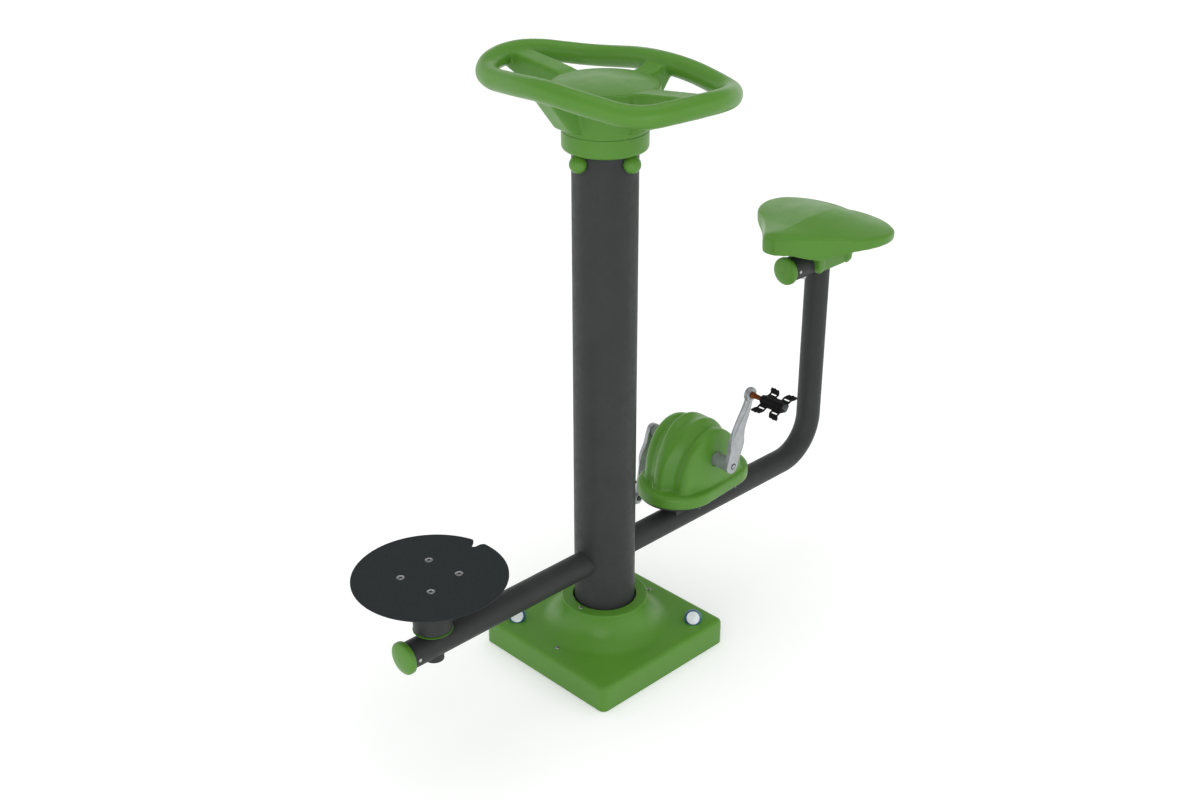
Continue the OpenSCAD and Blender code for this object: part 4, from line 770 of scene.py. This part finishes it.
# Half outline of the notch: distance in from the disc's edge, and half width there
NOTCH_HALF = [
    (0.0255, 0), (0.0249, 0.0032), (0.0226, 0.0058), (0.0185, 0.0074), (0.013, 0.0083), (0.0088, 0.0096),
    (0.0048, 0.0124), (0.0019, 0.0168), (0.0004, 0.021), (-0.004, 0.03)]


def disc_screw_places():
    """The four screws' places, on the disc's top."""
    x, y, _, _, top = round_node("twister_disc")
    return [Vector((x + DISC_SCREW_R * math.cos(a + DISC_TURN), y + DISC_SCREW_R * math.sin(a + DISC_TURN),
                    top)) for a in turns(4)]


def twister_disc():
    """A round plate with a bevelled underside, an edge notch and four countersunk holes."""
    x, y, r, bottom, top = round_node("twister_disc")
    edge = [(r - 0.018, bottom), (r - 0.0006, top - 0.0038), (r, top - 0.003), (r, top - DISC_EDGE),
            (r - DISC_EDGE, top)]
    disc = closed_mesh("twister_disc_skin", turned(edge, Vector((x, y, 0)), UP, 256))
    c, s = math.cos(NOTCH_TURN), math.sin(NOTCH_TURN)
    notch = [(x + u * c - v * s, y + u * s + v * c)
             for u, v in mirrored_ends([(r - d, w) for d, w in NOTCH_HALF])]
    cut(disc, loft([[(u, v, z) for u, v in notch] for z in (bottom - 0.01, top + 0.01)]))
    for p in disc_screw_places():
        cut(disc, rod(DISC_HOLE_R, bottom - top - 0.001, 0.0004 - SINK_H, p, UP, 48))
        cut(disc, turned([(DISC_HOLE_R, -SINK_H), (SINK_R, 0.0004)], p, UP, 48))
    dressed(disc, "speckled_black", "twister", "twister_disc")


def disc_screws():
    """Countersunk screws with hexagon sockets, and dark plugs in the sockets' bottoms as painted shade."""
    places = disc_screw_places()
    profile = [(0.0006, -0.02), (0.0039, -0.02), (0.0039, -0.0048), (0.0086, -0.0002), (0.0086, 0.0002),
               (0.008, 0.0006), (0.0006, 0.0006)]
    screws = closed_mesh("disc_screws_skin", *[turned(profile, p, UP, 48) for p in places])
    for p in places:
        cut(screws, rod(0.0037, -0.0026, 0.002, p, UP, 6))
    dressed(screws, "zinc_steel", "twister", "disc_screws")
    # Black plugs low in the sockets: painted shade where the sockets' floors lie in shadow
    floor = [(0.0005, -0.0025), (0.0035, -0.0025), (0.0035, -0.0006), (0.0026, -0.001), (0.0005, -0.0012)]
    socket_shade_plugs = closed_mesh("disc_socket_painted_shade", *[turned(floor, p, UP, 6) for p in places])
    dressed(socket_shade_plugs, "black_bolt", "twister")


def dust_ring():
    """The ring under the twister: only its thin lip shows."""
    x, y, r, bottom, top = round_node("dust_ring")
    h = top - bottom
    profile = [(r - 0.006, 0), (r - 0.0012, 0), (r - 0.0004, 0.0006), (r - 0.0004, 0.34 * h),
               (r - 0.0012, 0.4 * h), (r - 0.006, 0.4 * h)]
    skin = turned(profile, Vector((x, y, bottom)), UP, 128, "loop")
    moulded(closed_mesh("dust_ring_skin", skin), "dust_ring")


# Cranks
CRANK_T = 0.0095
CRANK_EYE_R = 0.017
CRANK_OFFSET = 0.0045
CRANK_BOSS = 0.0025
BOLT_BORE_R = 0.0074
SPINDLE_BORE_R = 0.0071
# Along a crank, as shares of the length from root to eye: its reach to the back and to the front
CRANK_EDGES = [
    (-0.098, 0.0065, 0.003), (-0.09, 0.0125, 0.0078), (-0.07, 0.0174, 0.0118), (-0.035, 0.0202, 0.0142),
    (0.03, 0.0214, 0.0152), (0.11, 0.0212, 0.0156), (0.17, 0.0212, 0.0172), (0.22, 0.0226, 0.0186),
    (0.27, 0.0248, 0.0198), (0.33, 0.0274, 0.0198), (0.38, 0.0278, 0.0172), (0.44, 0.0272, 0.0134),
    (0.51, 0.0252, 0.0106), (0.59, 0.022, 0.0102), (0.67, 0.0188, 0.0102), (0.73, 0.016, 0.01),
    (0.82, 0.0122, 0.009), (0.9, 0.0094, 0.0078), (0.95, 0.009, 0.0076)]


def crank(name, node, side):
    """Crank arm with a wide knee, a bevelled neck and an eye set further out; side is -1 near and 1 far."""
    eye = PEDAL_PLACES[side]
    along = Vector((eye.x, 0, eye.z)) - CRANK_AXIS
    length = along.length
    along.normalize()
    across = Vector((along.z, 0, -along.x)) * -side
    y_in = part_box(node)[0].y if side > 0 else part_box(node)[1].y
    rings = []
    for share, back, front in CRANK_EDGES:
        rise = smooth_step((share - 0.5) / 0.4)
        neck = smooth_step((share - 0.36) / 0.16)
        thick = CRANK_T + CRANK_OFFSET * rise
        low = 0.0015 * rise - CRANK_BOSS * (1 - smooth_step((share - 0.24) / 0.22))
        bevel, depth = 0.0012 + 0.004 * neck, 0.0012 + 0.0048 * neck
        groove = 0.0022 * neck
        middle = CRANK_AXIS + along * length * share
        section = [(-back, low + 0.0012), (-back, thick - depth), (bevel - back, thick - 0.0003),
                   (bevel + 0.0004 - back, thick), (bevel + 0.0006 - back, thick - groove),
                   (bevel + 0.002 - back, thick - groove), (bevel + 0.0023 - back, thick),
                   (front - 0.0016, thick), (front - 0.0005, thick - 0.0005), (front, thick - 0.0016),
                   (front, low + 0.0012), (front - 0.0012, low), (0.0012 - back, low)]
        rings.append([tuple(middle + across * u + Vector((0, y_in + side * v, 0))) for u, v in section])
    body = closed_mesh(name, loft(rings))
    inner = Vector((0, y_in, 0))
    eye_place = CRANK_AXIS + along * length + inner
    r = CRANK_EYE_R
    profile = [(0.0125, 0.001), (r - 0.0008, 0.0026), (r, 0.0045), (r, 0.0112), (r - 0.001, 0.0134),
               (r - 0.0036, 0.0146), (r - 0.005, 0.0146), (r - 0.006, 0.0132), (0.0085, 0.0132)]
    cut(body, turned(profile, eye_place, (0, side, 0)), "UNION")
    cut(body, rod(SPINDLE_BORE_R, -0.01, 0.03, eye_place, (0, side, 0)))
    cut(body, rod(BOLT_BORE_R, -0.02, 0.03, CRANK_AXIS + inner, (0, side, 0)))
    dressed(body, "cast_alloy", "crank_set", node)


def crank_axle():
    """The axle between the cranks; its narrower ends stop just inside their outer faces."""
    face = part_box("crank_far")[0].y
    outer = face + CRANK_T
    half = [(0.004, outer - 0.0007), (0.0068, outer - 0.0007), (0.0072, outer - 0.0011),
            (0.0072, face - 0.001), (0.0098, face - 0.0014)]
    profile = half + [(r, -y) for r, y in reversed(half)]
    axle = closed_mesh("crank_axle_skin", turned(profile, CRANK_AXIS, (0, 1, 0)))
    dressed(axle, "zinc_steel", "crank_set", "crank_axle")


def axle_sleeves():
    """A grey sleeve round the axle on each side, from the bearing to the crank."""
    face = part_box("crank_far")[0].y
    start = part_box("axle_outer_races")[1].y + 0.001
    profile = [(0.0102, start), (SLEEVE_R - 0.001, start), (SLEEVE_R, start + 0.001),
               (SLEEVE_R, face - 0.0024), (SLEEVE_R - 0.0016, face - 0.0008),
               (SLEEVE_R - 0.0026, face - 0.0002), (0.0102, face - 0.0002)]
    sleeves = [turned(profile, CRANK_AXIS, (0, side, 0), 96, "loop") for side in (-1, 1)]
    dressed(closed_mesh("axle_sleeves_skin", *sleeves), "grey_plastic", "crank_set", "axle_sleeves")


def crank_hardware():
    """Bolts in the axle's ends, the pedals' spindles and the plugs over the spindles' inner ends."""
    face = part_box("crank_far")[0].y
    ring = [(0.0056, -0.0004), (0.0076, -0.0004), (0.0076, 0.0004), (0.007, 0.0008), (0.0056, 0.0004)]
    head = [(0.0005, -0.0006), (0.0054, -0.0006), (0.0054, 0.001), (0.0047, 0.0017), (0.0029, 0.0019),
            (0.0026, 0.0006), (0.0005, 0.0006)]
    spindle = [(0.0004, 0.0008), (0.0068, 0.0008), (0.0068, 0.0142), (0.0078, 0.0146), (0.008, 0.017),
               (0.0068, 0.0188), (0.0058, 0.027), (0.0054, 0.038), (0.0058, 0.044), (0.0058, 0.105),
               (0.0054, 0.1056), (0.0004, 0.1056)]
    plug = [(0.0004, 0.0006), (0.0069, 0.0006), (0.0069, -0.0008), (0.0062, -0.0014), (0.0046, -0.0014),
            (0.004, -0.0004), (0.0004, -0.0004)]
    rings, heads, plugs, spindles = [], [], [], []
    for side, pedal in PEDAL_PLACES.items():
        out = (0, side, 0)
        end = CRANK_AXIS + Vector((0, side * (face + CRANK_T), 0))
        eye = Vector((pedal.x, side * face, pedal.z))
        rings.append(turned(ring, end, out, 48, "loop"))
        heads.append(turned(head, end, out, 48))
        spindles.append(turned(spindle, eye, out, 48))
        plugs.append(turned(plug, eye, out, 48))
    for name, skins, slot, nodes in (("crank_bolt_rings_skin", rings, "black_bolt", ["crank_bolts"]),
                                     ("crank_bolt_heads_skin", heads, "zinc_steel", ["crank_bolts"]),
                                     ("spindle_plugs_skin", plugs, "black_bolt", []),
                                     ("pedal_spindles_skin", spindles, "copper_steel", ["pedal_spindles"])):
        dressed(closed_mesh(name, *skins), slot, "crank_set", *nodes)


# Tube caps: radius, flange and dome of each kind, and the length of the dark seal under it
ARM_CAP = (0.0366, 0.008, 0.01)
RAIL_CAP = (0.0343, 0.006, 0.009)
ARM_SEAL = 0.003
RAIL_SEAL = 0.006
# How far a cap stands out of its tube in the CAD model
CAP_OUT = 0.014
PLUG_R = 0.0268


def tube_cap_skin(place, axis, radius, flange, dome):
    """A cap with a hollow plug, a rolled flange and a dome over it."""
    profile = [(0.0135, -0.024), (PLUG_R - 0.0002, -0.024), (PLUG_R, -0.0236), (PLUG_R, 0),
               (radius - 0.001, 0), (radius - 0.0002, 0.0004), (radius, 0.0014), (radius, flange - 0.0006)]
    profile += [(radius * c, flange + dome * s) for s, c in quarter(13, 1)[:-1]]
    profile += [(0.0012, flange + dome), (0.0012, -0.006), (0.0135, -0.006)]
    return turned(profile, place, axis, 96, "loop")


def tube_caps():
    """The caps, with a dark rubber seal between the tube's end and the cap at the two front ends."""
    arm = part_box("arm_end_cap")
    arm_z = (arm[0].z + arm[1].z) / 2
    low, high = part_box("rail_end_caps")
    arm_end = Vector((arm[0].x + CAP_OUT, 0, arm_z))
    front_end = Vector((low.x + CAP_OUT, 0, SADDLE_RAIL_Z))
    rear_end = Vector((high.x - CAP_OUT, 0, SADDLE_RAIL_Z))
    skin = tube_cap_skin(arm_end - Vector((ARM_SEAL, 0, 0)), (-1, 0, 0), *ARM_CAP)
    moulded(closed_mesh("arm_end_cap_skin", skin), "arm_end_cap")
    skins = [tube_cap_skin(front_end - Vector((RAIL_SEAL, 0, 0)), (-1, 0, 0), *RAIL_CAP),
             tube_cap_skin(rear_end, (1, 0, 0), *RAIL_CAP)]
    moulded(closed_mesh("rail_end_caps_skin", *skins), "rail_end_caps")
    seals = []
    for place, length in ((arm_end, ARM_SEAL), (front_end, RAIL_SEAL)):
        half = [(0.0272, 0.0002), (0.0298, 0.0002), (0.0301, 0.0006)]
        profile = half + [(r, length - d) for r, d in reversed(half)]
        seals.append(turned(profile, place, (-1, 0, 0), 96, "loop"))
    dressed(closed_mesh("tube_cap_seals", *seals), "black_bolt", "frame")


# Bolt caps on the base: places, radius, height of the ball's middle and the way the blank faces look
BOLT_CAP_PLACES = ((0.1403, -0.1531), (-0.148, 0.1428))
BOLT_CAP_R = 0.0208
BOLT_CAP_RISE = 0.008
BOLT_CAP_FACING = (-0.6, -0.6, 0.53)
# Angle from the facing at which the ball is cut flat
FLAT_ANGLE = 50


def sphere_profile(radius, first, last, count=12):
    """Points on a ball between two angles in degrees from its axis."""
    angles = [math.radians(first + (last - first) * k / count) for k in range(count + 1)]
    return [(radius * math.sin(a), radius * math.cos(a)) for a in angles]


def bolt_caps():
    """Ball-like caps with a tilted flat: a blank pale plate in a plain blue band."""
    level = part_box("base_cover_front")[0].z + COVER_H
    r = BOLT_CAP_R
    flat = r * math.cos(math.radians(FLAT_ANGLE))
    plate_r = r * math.sin(math.radians(FLAT_ANGLE))
    bodies, bands, faces = [], [], []
    for x, y in BOLT_CAP_PLACES:
        place = Vector((x, y, level + BOLT_CAP_RISE))
        body = [(0.0006, flat - 0.0012), (plate_r - 0.0006, flat - 0.0012)]
        body += sphere_profile(r - 0.0006, FLAT_ANGLE + 1, 178, 40)
        bodies.append(turned(body, place, BOLT_CAP_FACING, 72))
        band = sphere_profile(r, FLAT_ANGLE, 78) + sphere_profile(r - 0.001, 78, FLAT_ANGLE + 2)
        band.append((plate_r - 0.0006, flat - 0.0004))
        bands.append(turned(band, place, BOLT_CAP_FACING, 72, "loop"))
        plate = [(0.0006, flat - 0.0014), (plate_r - 0.0008, flat - 0.0014),
                 (plate_r - 0.0008, flat - 0.0003), (plate_r - 0.0014, flat),
                 (plate_r - 0.003, flat - 0.0004), (0.0006, flat - 0.0001)]
        faces.append(turned(plate, place, BOLT_CAP_FACING, 72))
    caps = closed_mesh("bolt_caps", *bodies)
    cut(caps, box_skin((-0.2, -0.2, 0), (0.2, 0.2, level - 0.001)))
    moulded(caps)
    for name, skins, finish in (("bolt_cap_bands", bands, CAP_BLUE), ("bolt_cap_faces", faces, CAP_PALE)):
        obj = dressed(closed_mesh(name, *skins), "zinc_steel", "frame")
        obj.data.materials[0] = finish


# Pedal cages
PEDAL_TILT = math.radians(23.5)
CAGE_VOXEL = 0.0008
CAGE_HALF = 0.0155
CAGE_NECK = 0.0105
CAGE_T = 0.0095
CAGE_BORE_R = 0.0088
CAGE_CLAW_Y = 0.019
STRUT_Y = 0.0097
STRUT_HALF = 0.0017
# A corner's arm and claw: distance from the spindle, and place along it from the corner's middle
CAGE_ARM = [(0.01, -0.011), (0.0204, -0.0114), (0.0204, 0.0114), (0.01, 0.011)]
CAGE_CLAW = [(0.026, -0.0114), (0.033, -0.0082), (0.0385, -0.004), (0.0378, 0.0028), (0.0406, 0.007),
             (0.0388, 0.0122), (0.0396, 0.0186), (0.0325, 0.0168), (0.026, 0.0114)]


def pedal_cage(name, node, body, side):
    """A plate with a barrel, and at each corner a toothed claw on two struts with a window between."""
    eye = PEDAL_PLACES[side]
    low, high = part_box(node)
    center = Vector((eye.x, (low.y + high.y) / 2, eye.z))
    c, s = math.cos(PEDAL_TILT), math.sin(PEDAL_TILT)

    def plate(outline, thick, bevel):
        """An outline in the cage's plane, as a plate with bevelled edges."""
        mx = sum(u for u, v in outline) / len(outline)
        my = sum(v for u, v in outline) / len(outline)
        rings = []
        t = thick / 2
        for share, h in ((bevel, -t), (0, bevel - t), (0, t - bevel), (bevel, t)):
            ring = []
            for u, v in outline:
                reach = math.hypot(u - mx, v - my)
                u, v = u + (mx - u) * share / reach, v + (my - v) * share / reach
                ring.append(center + Vector((u * c - h * s, v, u * s + h * c)))
            rings.append(ring)
        return loft(rings)

    half_y = (high.y - low.y) / 2
    corner = [(CAGE_HALF, half_y - 0.008), (CAGE_NECK, half_y - 0.001)]
    top = corner + [(-u, v) for u, v in reversed(corner)]
    skins = [plate([(u, -v) for u, v in reversed(top)] + top, CAGE_T, 0.0012)]
    inner_end = center - Vector((0, side * half_y, 0))
    bore_end = 2 * half_y - 0.006
    barrel = [(0.01, 0), (0.0108, 0.0008), (0.0108, bore_end - 0.001), (0.01, bore_end)]
    skins.append(turned(barrel, inner_end, (0, side, 0), 48))
    for su in (-1, 1):
        for sv in (-1, 1):
            middle = sv * CAGE_CLAW_Y
            skins.append(plate([(su * u, middle + sv * v) for u, v in CAGE_ARM], 0.0044, 0.0006))
            skins.append(plate([(su * u, middle + sv * v) for u, v in CAGE_CLAW], 0.0058, 0.0008))
            for y in (middle - STRUT_Y, middle + STRUT_Y):
                strut = [(su * 0.014, y - STRUT_HALF), (su * 0.029, y - STRUT_HALF),
                         (su * 0.029, y + STRUT_HALF), (su * 0.014, y + STRUT_HALF)]
                skins.append(plate(strut, 0.0036, 0.0004))
    cage = fused(closed_mesh(name, *skins), CAGE_VOXEL, 1)
    cut(cage, rod(CAGE_BORE_R, -0.02, bore_end, inner_end, (0, side, 0), 48))
    dressed(cage, "black_nylon", body, node)


def seen_rays(tree):
    """1 for camera, glossy and transmission rays and 0 for the rays that light things."""
    path = add_node(tree, "ShaderNodeLightPath")
    value = path.outputs["Is Camera Ray"]
    for kind in ("Is Glossy Ray", "Is Transmission Ray"):
        larger = add_node(tree, "ShaderNodeMath", operation="MAXIMUM")
        tree.links.new(value, larger.inputs[0])
        tree.links.new(path.outputs[kind], larger.inputs[1])
        value = larger.outputs[0]
    return value


def studio():
    """Pale floor under a plain sky that is white at the horizon and darker overhead."""
    bpy.ops.mesh.primitive_plane_add(size=FLOOR_SIZE, location=(0, 0, -0.0005))
    floor = bpy.context.object
    floor.name = "studio_floor"
    f = Finish("studio_floor", FLOOR_COLOR, 0.6, specular=0.0)
    glow = f.add("ShaderNodeEmission")
    both = f.add("ShaderNodeAddShader")
    strength = f.add("ShaderNodeMath", {1: FLOOR_GLOW}, operation="MULTIPLY")
    f.link(seen_rays(f.tree), strength.inputs[0])
    f.link(strength.outputs[0], glow.inputs["Strength"])
    f.link(f.bsdf.outputs[0], both.inputs[0])
    f.link(glow.outputs[0], both.inputs[1])
    f.link(both.outputs[0], f.tree.nodes["Material Output"].inputs["Surface"])
    floor.data.materials.append(f.material)

    world = bpy.data.worlds.new("studio")
    bpy.context.scene.world = world
    world.use_nodes = True
    tree = world.node_tree
    tree.nodes.clear()
    out = add_node(tree, "ShaderNodeOutputWorld")
    place = add_node(tree, "ShaderNodeTexCoord")
    parts = add_node(tree, "ShaderNodeSeparateXYZ")
    tree.links.new(place.outputs["Generated"], parts.inputs[0])
    skies = []
    for horizon, zenith in (SKY_LIGHT, SKY_SEEN):
        fade = add_node(tree, "ShaderNodeMapRange", map_values(*SKY_FADE, horizon, zenith),
                        interpolation_type="SMOOTHSTEP")
        tree.links.new(parts.outputs["Z"], fade.inputs["Value"])
        sky = add_node(tree, "ShaderNodeBackground", {"Color": (1, 1, 1, 1)})
        tree.links.new(fade.outputs["Result"], sky.inputs["Strength"])
        skies.append(sky)
    choose = add_node(tree, "ShaderNodeMixShader")
    tree.links.new(seen_rays(tree), choose.inputs[0])
    tree.links.new(skies[0].outputs[0], choose.inputs[1])
    tree.links.new(skies[1].outputs[0], choose.inputs[2])
    tree.links.new(choose.outputs[0], out.inputs["Surface"])


def aimed(name, data, place, ahead):
    """A lamp or camera at a place, looking ahead."""
    obj = bpy.data.objects.new(name, data)
    bpy.context.scene.collection.objects.link(obj)
    obj.location = place
    obj.rotation_euler = ahead.to_track_quat("-Z", "Y").to_euler()
    return obj


def lamp(name, place, target, size, power):
    """A round area lamp that faces its target."""
    data = bpy.data.lights.new(name, "AREA")
    data.shape = "DISK"
    data.size = size
    data.energy = power
    aimed(name, data, place, Vector(target) - Vector(place))


def camera():
    """The camera that the photo was taken with, as a pinhole."""
    data = bpy.data.cameras.new("camera")
    data.sensor_fit = "HORIZONTAL"
    data.sensor_width = SENSOR
    data.lens = LENS
    ahead = Vector((math.cos(CAMERA_DOWN) * math.cos(CAMERA_YAW),
                    math.cos(CAMERA_DOWN) * math.sin(CAMERA_YAW), -math.sin(CAMERA_DOWN)))
    bpy.context.scene.camera = aimed("camera", data, CAMERA_PLACE, ahead)


hand_wheel()
drive_covers()
saddle()
base_covers()
bolt_caps()
base_screws()
dust_ring()
pedal_cage("pedal_cage_near_skin", "pedal_cage_near", "pedal_near", -1)
pedal_cage("pedal_cage_far_skin", "pedal_cage_far", "pedal_far", 1)
twister_disc()
disc_screws()
tube_caps()
crank("crank_near_skin", "crank_near", -1)
crank("crank_far_skin", "crank_far", 1)
crank_axle()
axle_sleeves()
crank_hardware()
studio()
for row in LAMPS:
    lamp(*row)
camera()
bpy.context.scene.view_settings.view_transform = "Standard"
